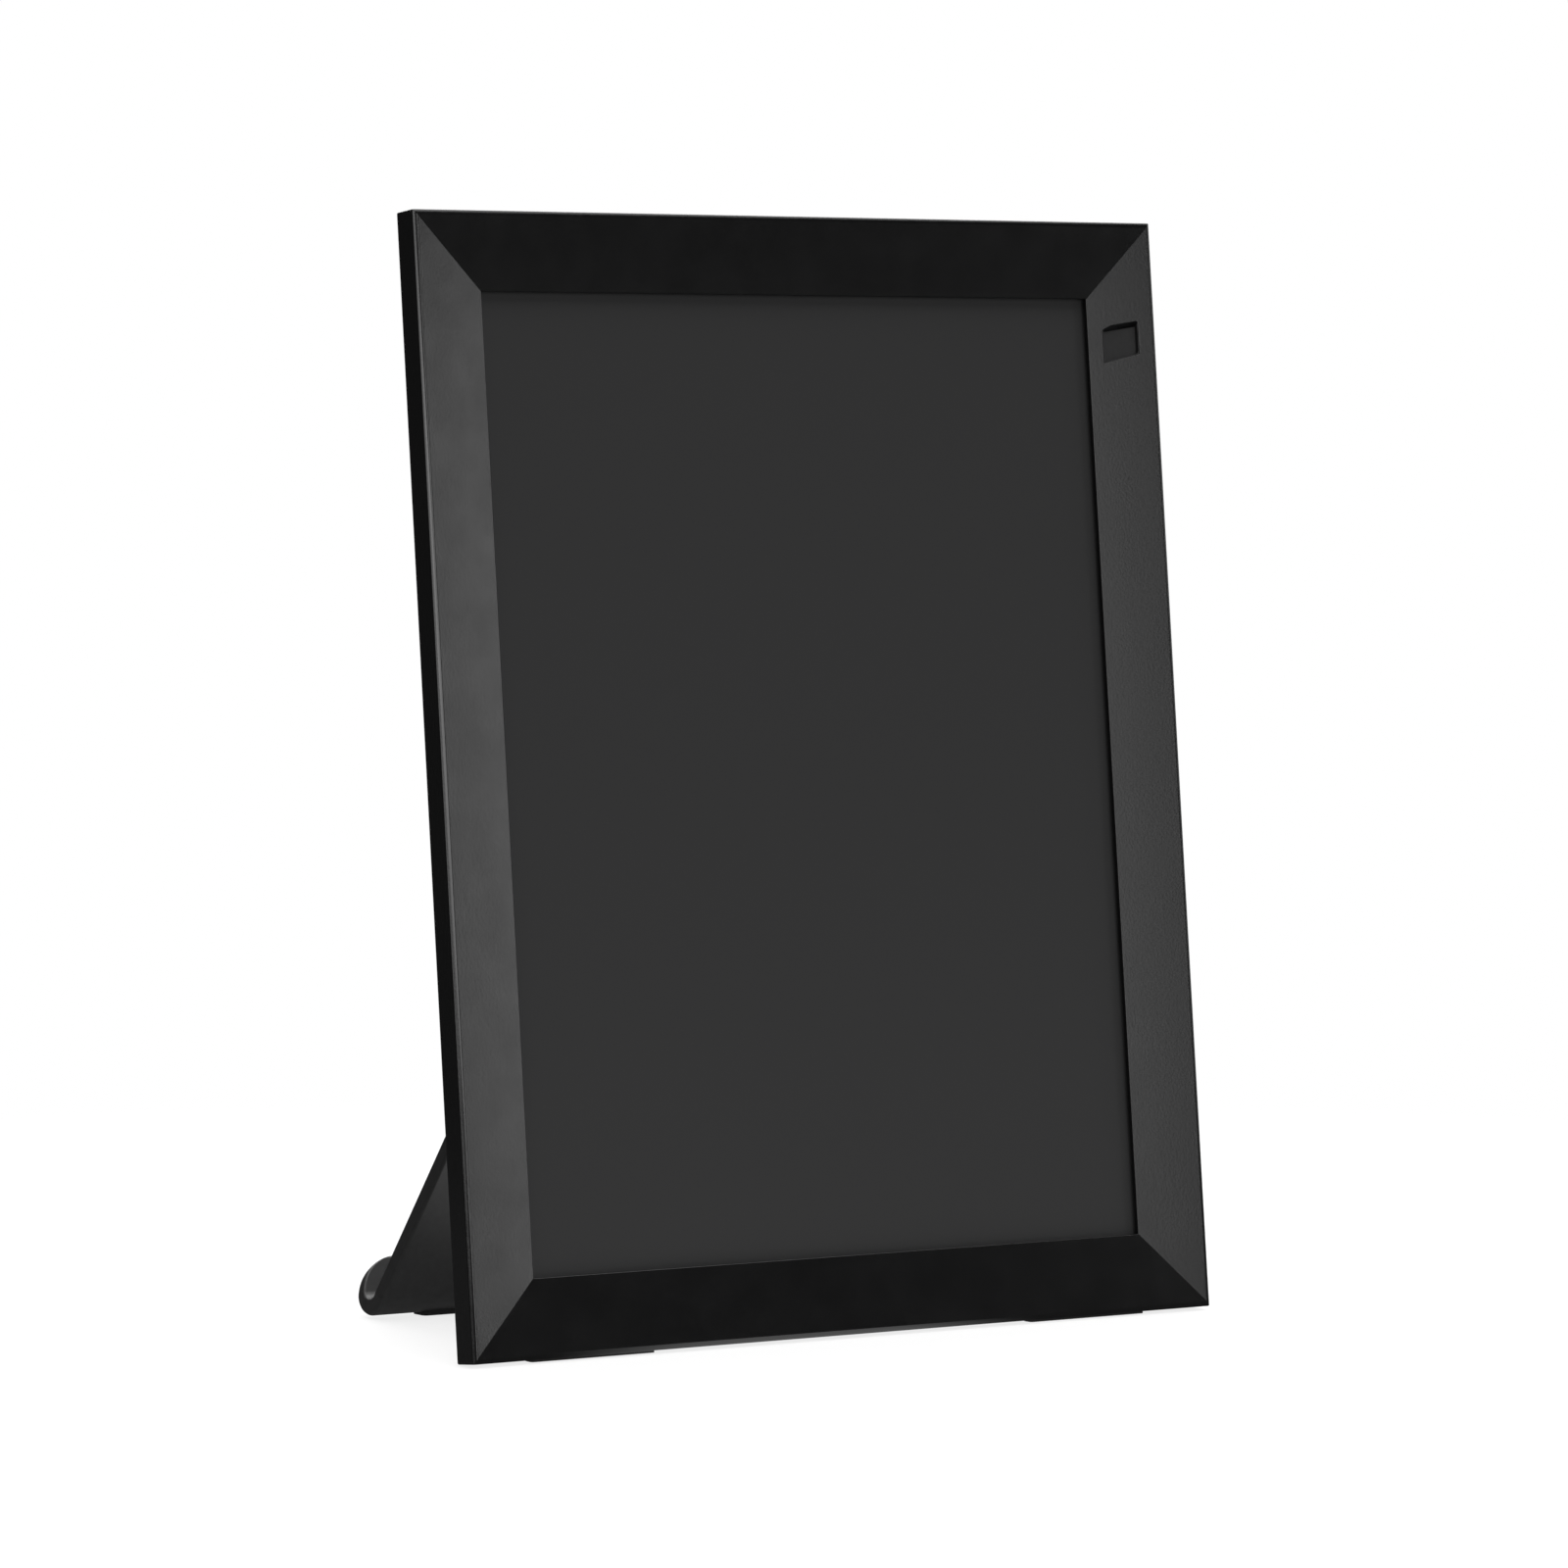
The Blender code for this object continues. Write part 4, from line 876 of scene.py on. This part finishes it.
def build_rear_cover():
    low, high = local_box("rear_cover")
    high.y = COVER_BACK_Y
    shape = plate(low, high, COVER_CORNER, back_edge=COVER_EDGE)
    wall = Vector((COVER_RIM_T, 0.0, COVER_RIM_T))
    hollow_low = low + wall
    hollow_low.y = low.y - OVERCUT
    hollow_high = high - wall
    hollow_high.y = COVER_BACK_Y - COVER_T
    shape = carve(shape, block(hollow_low, hollow_high))
    window = block(
        (-COVER_WINDOW_HALF_W, 0.0, COVER_WINDOW_Z[0]),
        (COVER_WINDOW_HALF_W, COVER_CUT_BACK_Y, COVER_WINDOW_Z[1]),
    )
    notch = block(
        (NOTCH_X[0], NOTCH_Y[0], NOTCH_Z - NOTCH_HALF_H),
        (NOTCH_X[1], NOTCH_Y[1], NOTCH_Z + NOTCH_HALF_H),
    )
    shape = carve(shape, together(window, notch))
    seat_y = COVER_BACK_Y - COVER_SEAT_DEPTH
    cover_screws, housing_screws = screw_places()
    for x, z in cover_screws:
        hole = cylinder(COVER_HOLE_R, (x, 0.0, z), (x, COVER_CUT_BACK_Y, z), segments=32)
        shape = carve(shape, hole)
        seat = cylinder(COVER_SEAT_R, (x, seat_y, z), (x, COVER_CUT_BACK_Y, z), segments=48)
        shape = carve(shape, seat)
    post_start = COVER_BACK_Y - COVER_T + POST_ROOT
    post_end = HOUSING_BACK_Y - HOUSING_WALL - POST_GAP
    for x, z in housing_screws:
        post = cylinder(POST_R, (x, post_start, z), (x, post_end, z), segments=40)
        shape = carve(shape, post, "UNION")
        bore = cylinder(POST_BORE_R, (x, POST_BORE_Y[0], z), (x, POST_BORE_Y[1], z), segments=24)
        shape = carve(shape, bore)

    def seat_rim(edge):
        if not both(edge, lambda p: near(p.y, COVER_BACK_Y)):
            return False
        middle = (edge.verts[0].co + edge.verts[1].co) / 2
        return any(math.hypot(middle.x - x, middle.z - z) < COVER_SEAT_REACH for x, z in cover_screws)

    shape = weighted_bevel(shape, ((OPENING_EDGE, seat_rim),), segments=2)
    piece("cover_shell", shape, REAR_SKIN, "frame", nodes=["rear_cover"])


def housing_shape(shrink, front, outer):
    """The drafted block of the housing, or the smaller one of its hollow."""
    low, high = local_box("electronics_housing")
    half = high.x - shrink
    shape = block((-half, front, low.z + shrink), (half, HOUSING_BACK_Y - shrink, high.z - shrink))
    middle = sum((v.co for v in shape.verts), Vector()) / len(shape.verts)
    for vert in shape.verts:
        if vert.co.y > middle.y:
            vert.co.x -= math.copysign(HOUSING_DRAFT, vert.co.x - middle.x)
            vert.co.z -= math.copysign(HOUSING_DRAFT, vert.co.z - middle.z)

    def runs_deep(edge):
        run = edge.verts[1].co - edge.verts[0].co
        return abs(run.y) > max(abs(run.x), abs(run.z))

    bevel(shape, HOUSING_CORNER - shrink, 10, runs_deep)
    if outer:
        bevel(shape, HOUSING_EDGE, 5, lambda edge: both(edge, lambda p: p.y > HOUSING_BACK_Y - MERGE))
    return shape


def wall_cutter(x, z, half_w, half_h, corner, steps=6):
    """Goes through the housing's back wall."""
    low = (x - half_w, HOUSING_CUT_Y[0], z - half_h)
    high = (x + half_w, HOUSING_CUT_Y[1], z + half_h)
    return plate(low, high, corner, steps=steps)


def build_housing():
    low, _ = local_box("electronics_housing")
    shape = housing_shape(0.0, low.y, True)
    shape = carve(shape, housing_shape(HOUSING_WALL, low.y - HOUSING_CUT_FRONT, False))
    cut_start, cut_end = ((0.0, y, HUB_Z) for y in HUB_HOLE_CUT_Y)
    shape = carve(shape, cylinder(HUB_HOLE_R, cut_start, cut_end, segments=96))
    _, screws = screw_places()
    near_y, far_y = HOUSING_CUT_Y
    seat_y = HOUSING_BACK_Y - HOUSING_SEAT_DEPTH
    holes = [cylinder(HOUSING_HOLE_R, (x, near_y, z), (x, far_y, z), segments=32) for x, z in screws]
    seats = [cylinder(HOUSING_SEAT_R, (x, seat_y, z), (x, far_y, z), segments=48) for x, z in screws]
    shape = carve(shape, together(*holes))
    shape = carve(shape, together(*seats))
    wells = []
    for name in BUTTON_NAMES:
        half_w, half_h = KEY_HALF_W + KEY_GAP, KEY_HALF_H + KEY_GAP
        wells.append(wall_cutter(key_x(name), BUTTON_Z, half_w, half_h, WELL_CORNER))
    shape = carve(shape, together(*wells))
    sockets = []
    for node in ("dc_inlet", "usb_port", "card_slot"):
        body_low, body_high = local_box(node)
        grown = Vector((0.0, SOCKET_GAP, SOCKET_GAP))
        cut_low, cut_high = body_low - grown, body_high + grown
        cut_low.x, cut_high.x = SOCKET_CUT_X
        sockets.append(plate(cut_low, cut_high, SOCKET_CUT_CORNER, axis=0))
    shape = carve(shape, together(*sockets))
    slots = []
    for side in (-1, 1):
        for row in SLOT_ROWS:
            x, z = side * SPEAKER_X, SPEAKER_Z + row * SLOT_PITCH
            slots.append(wall_cutter(x, z, SLOT_HALF_W, SLOT_HALF_H, SLOT_HALF_H * SLOT_END, steps=5))
    shape = carve(shape, together(*slots))

    def opening_rim(edge):
        if not both(edge, lambda p: near(p.y, HOUSING_BACK_Y)):
            return False
        return edge.is_manifold and edge.calc_face_angle() > OPENING_ANGLE

    shape = weighted_bevel(shape, ((OPENING_EDGE, opening_rim),), segments=2)
    piece("housing_shell", shape, REAR_SKIN, "frame", nodes=["electronics_housing"])


# ---- keys and symbols


def key_x(name):
    low, high = local_box(f"button_{name}")
    return (low.x + high.x) / 2


def rounded_outline(half_w, half_h, corner, steps=6):
    """The outline of a rectangle with rounded corners, about its own centre."""
    points = []
    for cx, cz, start in ((1, 1, 0), (-1, 1, 90), (-1, -1, 180), (1, -1, 270)):
        for step in range(steps + 1):
            angle = math.radians(start + 90.0 * step / steps)
            x = cx * (half_w - corner) + corner * math.cos(angle)
            z = cz * (half_h - corner) + corner * math.sin(angle)
            points.append((x, z))
    return points


def build_key(name):
    """A key with a skirt behind the housing and a shallow dish in its crown."""
    x = key_x(name)
    low, high = local_box(f"button_{name}")
    levels = [(low.y, 0.0, KEY_CORNER)]
    levels += [(high.y - depth * MM, inset * MM, corner * MM) for depth, inset, corner in KEY_CROWN]
    rings = []
    for y, inset, corner in levels:
        outline = rounded_outline(KEY_HALF_W - inset, KEY_HALF_H - inset, corner)
        rings.append([(x + px, y, BUTTON_Z + pz) for px, pz in outline])
    shape = loft(rings)
    skirt = plate(
        (low.x, low.y + SKIRT_INSET, BUTTON_Z - KEY_HALF_H - SKIRT_OUT),
        (high.x, HOUSING_BACK_Y - HOUSING_WALL - POST_GAP, BUTTON_Z + KEY_HALF_H + SKIRT_OUT),
        SKIRT_CORNER,
    )
    shape = carve(shape, skirt, "UNION")
    piece(f"key_cap_{name}", shape, KEY_SKIN, f"key_{name}", nodes=[f"button_{name}"])


def arc_band(radius, width, start, stop, steps=20):
    """An open ring between two angles in degrees, as an outline."""
    angles = [math.radians(start + (stop - start) * step / steps) for step in range(steps + 1)]
    far, close = radius + width / 2, radius - width / 2
    outer = [(far * math.cos(a), far * math.sin(a)) for a in angles]
    inner = [(close * math.cos(a), close * math.sin(a)) for a in reversed(angles)]
    return outer + inner


def bar(x0, z0, x1, z1):
    return [(x0, z0), (x1, z0), (x1, z1), (x0, z1)]


def symbols():
    """Plain control symbols as seen from behind, in millimetres about their own centres.

    The keys are named as seen from in front, so the one named left points right here.
    """
    return {
        "power": [arc_band(1.15, 0.3, 125.0, 415.0), bar(-0.15, 0.25, 0.15, 1.5)],
        "menu": [bar(-1.2, 0.6, 1.2, 0.9), bar(-1.2, -0.15, 1.2, 0.15), bar(-1.2, -0.9, 1.2, -0.6)],
        "left": [[(-0.8, -1.1), (1.1, 0.0), (-0.8, 1.1)]],
        "right": [[(-1.1, 0.0), (0.8, -1.1), (0.8, 1.1)]],
        "enter": [arc_band(1.15, 0.3, 0.0, 359.9, 32), arc_band(0.3, 0.5, 0.0, 359.9, 20)],
        "back": [
            arc_band(0.8, 0.3, -90.0, 90.0),
            bar(-0.6, 0.65, 0.0, 0.95),
            [(-1.4, 0.8), (-0.5, 0.2), (-0.5, 1.4)],
        ],
    }


def build_symbols():
    """Symbols printed below the keys. They are seen from behind, so they run the other way in x."""
    z = BUTTON_Z - SYMBOL_DROP
    low_y, high_y = HOUSING_BACK_Y - INK_SUNK, HOUSING_BACK_Y + INK_PROUD
    for name, outlines in symbols().items():
        x = key_x(name)
        prints = []
        for outline in outlines:
            points = [(x - px * MM, z + pz * MM) for px, pz in outline]
            prints.append(prism(points, low_y, high_y))
        piece(f"symbol_{name}", together(*prints), INK_SKIN, "frame")


# ---- screws, sockets, pads


def screw_shape(head_r, head_t, shank_r, head_y, tip_y):
    """A pan-head screw with a cross recess, its head towards +Y."""
    top = head_y + head_t
    profile = [(head_r * out, top - head_t * down) for out, down in SCREW_DOME]
    profile += [(head_r, head_y), (shank_r, head_y)]
    profile += [(shank_r, tip_y + shank_r), (shank_r * SCREW_POINT, tip_y), (0.0, tip_y)]
    shape = lathe(profile, steps=48)
    arm, half = head_r * CROSS_ARM, head_r * CROSS_HALF_W
    deep = top - head_t * CROSS_DEPTH
    wings = []
    for across, upright in ((arm, half), (half, arm)):
        rings = []
        for y, size in zip((deep, top + CROSS_CUT), CROSS_TAPER):
            w = across * size if across == arm else half
            h = upright * size if upright == arm else half
            rings.append([(-w, y, -h), (w, y, -h), (w, y, h), (-w, y, h)])
        wings.append(loft(rings))
    cross = carve(wings[0], wings[1], "UNION")
    return carve(shape, cross)


def build_screws():
    for (kind, sizes), places in zip(SCREW_SIZES.items(), screw_places()):
        for index, (x, z) in enumerate(places, start=1):
            shape = screw_shape(*sizes)
            spin = Matrix.Rotation(math.radians(SCREW_SPIN * index), 4, "Y")
            moved(shape, Matrix.Translation((x, 0.0, z)) @ spin)
            node = f"{kind}_{index}"
            piece(f"{node}_cross", shape, ZINC_SKIN, "frame", nodes=[node])


def build_dc_inlet():
    low, high = local_box("dc_inlet")
    middle = (low + high) / 2
    shape = plate(low, high, DC_CORNER, back_edge=DC_EDGE, axis=0)
    mouth = (high.x + OVERCUT, middle.y, middle.z)
    inner = (high.x - DC_BORE_DEPTH, middle.y, middle.z)
    shape = carve(shape, cylinder(DC_BORE_R, inner, mouth, segments=48))
    piece("dc_body", shape, SOCKET_SKIN, "frame", nodes=["dc_inlet"])
    start = (high.x - DC_PIN_ROOT, middle.y, middle.z)
    end = (high.x - DC_PIN_TIP, middle.y, middle.z)
    pin = cylinder(DC_PIN_R, start, end, segments=24, rim=DC_PIN_EDGE)
    piece("dc_pin", pin, STEEL_SKIN, "frame")


def build_shell_socket(node, tongue_t, contacts):
    """A folded steel shell with a plastic tongue and gold contacts inside."""
    low, high = local_box(node)
    shape = plate(low, high, SHELL_CORNER, axis=0)
    hollow_low = (low.x + SHELL_FLOOR, low.y + SHELL_WALL, low.z + SHELL_WALL)
    hollow_high = (high.x + OVERCUT, high.y - SHELL_WALL, high.z - SHELL_WALL)
    shape = carve(shape, plate(hollow_low, hollow_high, SHELL_HOLLOW_CORNER, axis=0))
    piece(f"{node}_shell", shape, STEEL_SKIN, "frame", nodes=[node])
    middle_y = (low.y + high.y) / 2
    tongue_low = (low.x + TONGUE_INSET, middle_y - tongue_t / 2, low.z + TONGUE_INSET)
    tongue_high = (high.x - TONGUE_TIP, middle_y + tongue_t / 2, high.z - TONGUE_INSET)
    tongue = plate(tongue_low, tongue_high, TONGUE_CORNER, axis=0)
    piece(f"{node}_tongue", tongue, SOCKET_SKIN, "frame")
    pitch = (high.z - low.z - 2 * TONGUE_INSET) / contacts
    half = pitch * CONTACT_SHARE
    face_y = middle_y + tongue_t / 2
    strips = []
    for index in range(contacts):
        z = low.z + TONGUE_INSET + pitch * (index + 0.5)
        strip_low = (low.x + CONTACT_ROOT, face_y - CONTACT_SUNK, z - half)
        strip_high = (high.x - CONTACT_TIP, face_y + CONTACT_PROUD, z + half)
        strips.append(block(strip_low, strip_high))
    piece(f"{node}_contacts", together(*strips), GOLD_SKIN, "frame")


def pad_pocket(node, corner, place):
    """The room round a CAD pad, in the coordinates of the piece that it is cut from."""
    low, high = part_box(node)
    margin = Vector((PAD_CLEAR, PAD_CLEAR, PAD_CLEAR))
    pocket = plate(low - margin, high + margin, corner, axis=2)
    return moved(pocket, place.inverted())


def build_pads():
    sizes = (
        ("edge_pad_left", "edge_pad_left_rubber", "frame", EDGE_PAD_CORNER, EDGE_PAD_EDGE),
        ("edge_pad_right", "edge_pad_right_rubber", "frame", EDGE_PAD_CORNER, EDGE_PAD_EDGE),
        ("leg_foot_pad", "foot_pad_rubber", "leg", FOOT_PAD_CORNER, FOOT_PAD_EDGE),
    )
    for node, name, body, corner, edge in sizes:
        low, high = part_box(node)
        pad = plate(low, high, corner, back_edge=edge, axis=2)
        piece(name, pad, RUBBER_SKIN, body, Matrix.Identity(4), [node])


# ---- stand


def build_hub():
    """The turning disc with its two hinge ears, in coordinates about the hub's centre."""
    sunk_y = HUB_BACK_Y - HUB_GROOVE_DEPTH
    profile = [(0.0, HUB_BACK_Y)]
    for inset, y in zip(HUB_GROOVE, (HUB_BACK_Y, sunk_y, sunk_y, HUB_BACK_Y)):
        profile.append((HUB_R - inset, y))
    for step in range(5):
        angle = math.radians(22.5 * step)
        radius = HUB_R - HUB_RIM * (1 - math.sin(angle))
        profile.append((radius, HUB_BACK_Y - HUB_RIM * (1 - math.cos(angle))))
    profile += [
        (HUB_R, HUB_FRONT_Y),
        (HUB_BOSS_R, HUB_FRONT_Y),
        (HUB_BOSS_R, HUB_BOSS_END_Y),
        (0.0, HUB_BOSS_END_Y),
    ]
    shape = lathe(profile, steps=128)
    root = -EAR_ROOT + HUB_BACK_Y - PIN_Y
    outline = [(EAR_R, root)]
    for step in range(19):
        angle = math.radians(180.0 * step / 18)
        outline.append((EAR_R * math.cos(angle), EAR_R * math.sin(angle)))
    outline.append((-EAR_R, root))
    for ends in ((-EAR_OUTER, -EAR_INNER), (EAR_INNER, EAR_OUTER)):
        ear = loft([[(x, PIN_Y + up, PIN_RISE + along) for along, up in outline] for x in ends])
        bevel(ear, EAR_EDGE, 3, lambda edge: edge.calc_face_angle(0.0) > OPENING_ANGLE)
        shape = carve(shape, ear, "UNION")
    reach = EAR_OUTER + OVERCUT
    bore = cylinder(PIN_BORE_R, (-reach, PIN_Y, PIN_RISE), (reach, PIN_Y, PIN_RISE), segments=40)
    shape = carve(shape, bore)
    pilots = []
    for index in range(HUB_SCREWS):
        angle = math.radians(90.0 + 360.0 / HUB_SCREWS * index)
        x, z = HUB_SCREW_CIRCLE * math.cos(angle), HUB_SCREW_CIRCLE * math.sin(angle)
        pilots.append(cylinder(PILOT_R, (x, PILOT_Y[0], z), (x, PILOT_Y[1], z), segments=24))
    shape = carve(shape, together(*pilots))
    piece("hub_disc", shape, REAR_SKIN, "hub", HUB, ["stand_hub"])
    end = EAR_OUTER - PIN_SHORT
    pin = cylinder(PIN_R, (-end, 0.0, 0.0), (end, 0.0, 0.0), segments=48, rim=PIN_EDGE)
    piece("hinge_rod", pin, STEEL_SKIN, "hub", PIVOT, ["hinge_pin"])


def leg_point(along):
    """Middle surface of the leg and its outward normal, in the pivot's y and z."""
    arc = CURL_R * CURL_TURN
    if along <= LEG_STRAIGHT:
        return Vector((0.0, 0.0, -along)), Vector((0.0, -1.0, 0.0))
    turn = min((along - LEG_STRAIGHT) / CURL_R, CURL_TURN)
    normal = Vector((0.0, -math.cos(turn), -math.sin(turn)))
    centre = Vector((0.0, CURL_R, -LEG_STRAIGHT))
    point = centre + normal * CURL_R
    beyond = max(0.0, along - LEG_STRAIGHT - arc)
    ahead = Vector((0.0, math.sin(turn), -math.cos(turn)))
    return point + ahead * beyond, normal


def leg_half_width(along, total):
    """The leg is narrow at its barrel, flares to the foot and has rounded corners on its lip."""
    half = LEG_HALF_TOP + (LEG_HALF_FOOT - LEG_HALF_TOP) * min(1.0, along / LEG_STRAIGHT)
    if along <= NECK:
        return BARREL_HALF
    if along < NECK + SHOULDER:
        part = 1.0 - (along - NECK) / SHOULDER
        return BARREL_HALF + (half - BARREL_HALF) * math.sqrt(1.0 - part * part)
    corner_start = total - LIP_CORNER
    if along > corner_start:
        part = min(1.0, (along - corner_start) / LIP_CORNER)
        half -= LIP_CORNER * (1.0 - math.sqrt(1.0 - part * part))
    return half


def leg_section(along, total):
    """One rounded section of the leg, thinning towards the tip of the lip."""
    point, normal = leg_point(along)
    half = leg_half_width(along, total)
    curl_start = LEG_STRAIGHT + CURL_R * CURL_TURN * 0.5
    fade = max(0.0, min(1.0, (along - curl_start) / (total - curl_start)))
    thick = LEG_T * (1.0 - LEG_THINNING * fade)
    to_tip = total - along
    if to_tip < LEG_TIP:
        rounding = math.sqrt(max(0.0, 1.0 - (1.0 - to_tip / LEG_TIP) ** 2))
        thick *= LEG_TIP_BLUNT + (1.0 - LEG_TIP_BLUNT) * rounding
    corner = min(LEG_CORNER, thick * LEG_CORNER_SHARE)
    outline = rounded_outline(half, thick / 2, corner, steps=4)
    return [point + Vector((across, 0.0, 0.0)) + normal * out for across, out in outline]


def leg_stations(arc, total):
    """Distances along the leg of its sections, closer together where its outline turns."""
    stations = [0.0, NECK * 0.5, NECK]
    stations += [NECK + SHOULDER * (1.0 - math.cos(math.radians(step))) for step in range(10, 91, 8)]
    stations += [NECK + SHOULDER + (LEG_STRAIGHT - NECK - SHOULDER) * step / 8 for step in range(1, 9)]
    stations += [LEG_STRAIGHT + arc * step / 24 for step in range(1, 25)]
    stations += [total - LIP_CORNER * (1.0 - math.sin(math.radians(step))) for step in range(0, 91, 5)]
    stations += [total - LEG_TIP * (1.0 - math.sin(math.radians(step))) for step in range(0, 91, 18)]
    stations = sorted(set(round(station, 6) for station in stations))
    apart = [stations[0]]
    for station in stations[1:]:
        if station - apart[-1] > STATION_GAP:
            apart.append(station)
    return apart


def build_leg():
    arc = CURL_R * CURL_TURN
    total = LEG_STRAIGHT + arc + LIP
    shape = loft([leg_section(station, total) for station in leg_stations(arc, total)])
    ends = (-BARREL_HALF, 0.0, 0.0), (BARREL_HALF, 0.0, 0.0)
    shape = carve(shape, cylinder(BARREL_R, *ends, segments=64, rim=BARREL_EDGE), "UNION")
    reach = BARREL_HALF + BARREL_CUT
    shape = carve(shape, cylinder(PIN_BORE_R, (-reach, 0.0, 0.0), (reach, 0.0, 0.0), segments=40))
    shape = carve(shape, pad_pocket("leg_foot_pad", FOOT_PAD_CORNER, PIVOT))
    piece("leg_plate", shape, LEG_SKIN, "leg", PIVOT, ["stand_leg"], sharp=LEG_SHARP)


# ---- carried-over CAD nodes


CARRIED = (
    (CHIP_SKIN, ("motion_sensor", "processor", "memory_chip", "speaker_left", "speaker_right")),
    (CHIP_SKIN, [f"switch_{name}" for name in BUTTON_NAMES]),
    (BOARD_SKIN, ("sensor_board", "main_board", "button_board", "wifi_antenna")),
    (STEEL_SKIN, ("display_tray", "shield_can", "hub_washer", "hub_retainer")),
    (ZINC_SKIN, ("hub_screw_1", "hub_screw_2", "hub_screw_3")),
    (NYLON_SKIN, ("friction_washer_left", "friction_washer_right")),
    (FOAM_SKIN, ("display_gasket",)),
    (DIFFUSER_SKIN, ("backlight",)),
    (FLEX_SKIN, ("display_flex",)),
)


def skin_carried():
    for skin, nodes in CARRIED:
        for node in nodes:
            materials = NODES[node].data.materials
            materials.clear()
            materials.append(skin)


# ---- floor, light, camera


def smooth_range(tree, value, start, end):
    """Eases from the first of the end values to the second over the start values."""
    inputs = {"Value": value}
    inputs["From Min"], inputs["From Max"] = start
    inputs["To Min"], inputs["To Max"] = end
    eased = shader_node(tree, "ShaderNodeMapRange", inputs, interpolation_type="SMOOTHSTEP")
    return eased.outputs["Result"]


def mixed(tree, factor, one, two):
    both_shaders = {"Fac": factor, 1: one, 2: two}
    return shader_node(tree, "ShaderNodeMixShader", both_shaders).outputs["Shader"]


def floor_skin():
    """Pale to the camera and clear at the rim. In reflections it is dark, but for one bright spot."""
    made, tree, shader = new_material(
        "floor_skin", FLOOR_COLOUR, FLOOR_ROUGHNESS, specular=FLOOR_SPECULAR
    )
    shader.inputs["Emission Color"].default_value = WHITE
    shader.inputs["Emission Strength"].default_value = FLOOR_FILL
    where = own_coordinates(tree)
    middle = shader_node(tree, "ShaderNodeVectorMath", {0: where}, operation="LENGTH")
    fade = smooth_range(tree, middle.outputs["Value"], FLOOR_FADE, (0.0, 1.0))
    places = {0: where, 1: BRIGHT_SPOT}
    spot = shader_node(tree, "ShaderNodeVectorMath", places, operation="DISTANCE")
    glow = smooth_range(tree, spot.outputs["Value"], BRIGHT_SPOT_FADE, (SPOT_IN_GLOSS, FLOOR_IN_GLOSS))
    glossy = shader_node(tree, "ShaderNodeEmission", {"Color": WHITE, "Strength": glow})
    is_glossy = shader_node(tree, "ShaderNodeLightPath").outputs["Is Glossy Ray"]
    seen = mixed(tree, is_glossy, shader.outputs["BSDF"], glossy.outputs["Emission"])
    clear = shader_node(tree, "ShaderNodeBsdfTransparent").outputs["BSDF"]
    faded = mixed(tree, fade, seen, clear)
    tree.links.new(faded, tree.nodes["Material Output"].inputs["Surface"])
    return made


def build_floor():
    """A round pale floor whose rim fades into the white surroundings."""
    shape = bmesh.new()
    bmesh.ops.create_circle(shape, cap_ends=True, segments=96, radius=FLOOR_RADIUS)
    mesh = as_mesh("floor", shape)
    mesh.materials.append(floor_skin())
    as_object("floor", mesh)


def build_world():
    """White to the camera, dim to everything else, so that the black plastic stays black."""
    world = bpy.data.worlds.new("studio")
    bpy.context.scene.world = world
    world.use_nodes = True
    tree = world.node_tree
    tree.nodes.clear()
    is_camera = shader_node(tree, "ShaderNodeLightPath").outputs["Is Camera Ray"]
    rooms = []
    for strength in (ROOM_GLOW, ROOM_WHITE):
        room = shader_node(tree, "ShaderNodeBackground", {"Color": WHITE, "Strength": strength})
        rooms.append(room.outputs["Background"])
    shader_node(tree, "ShaderNodeOutputWorld", {"Surface": mixed(tree, is_camera, *rooms)})


def direction(azimuth, elevation):
    """From the object towards a light. Azimuth 0 is in front (-Y) and 90 to the right (+X)."""
    a, e = math.radians(azimuth), math.radians(elevation)
    return Vector((math.sin(a) * math.cos(e), -math.cos(a) * math.cos(e), math.sin(e)))


def softbox(name, azimuth, elevation, distance, width, height, radiance):
    """A rectangular light aimed at the object. Radiance 1 shows as white in a mirror."""
    light = bpy.data.lights.new(name, "AREA")
    light.shape = "RECTANGLE"
    light.size = width
    light.size_y = height
    light.energy = radiance * math.pi * width * height
    lamp = as_object(name, light)
    away = direction(azimuth, elevation)
    lamp.location = Vector(LIGHT_AIM) + away * distance
    lamp.rotation_euler = away.to_track_quat("Z", "Y").to_euler()


def build_camera():
    data = bpy.data.cameras.new("camera")
    data.lens = LENS
    data.sensor_width = FILM_WIDTH
    data.clip_start, data.clip_end = CAMERA_CLIP
    camera = as_object("camera", data)
    camera.location = CAMERA_PLACE
    camera.rotation_euler = (CAMERA_TILT, 0.0, CAMERA_AZIMUTH)
    bpy.context.scene.camera = camera


build_bezel()
build_sensor()
build_display()
build_rear_cover()
build_housing()
for button in BUTTON_NAMES:
    build_key(button)
build_symbols()
build_screws()
build_dc_inlet()
for socket in SHELL_SOCKETS:
    build_shell_socket(*socket)
build_pads()
build_hub()
build_leg()
skin_carried()
build_floor()
build_world()
for box in SOFTBOXES:
    softbox(*box)
build_camera()
bpy.context.scene.view_settings.view_transform = "Standard"
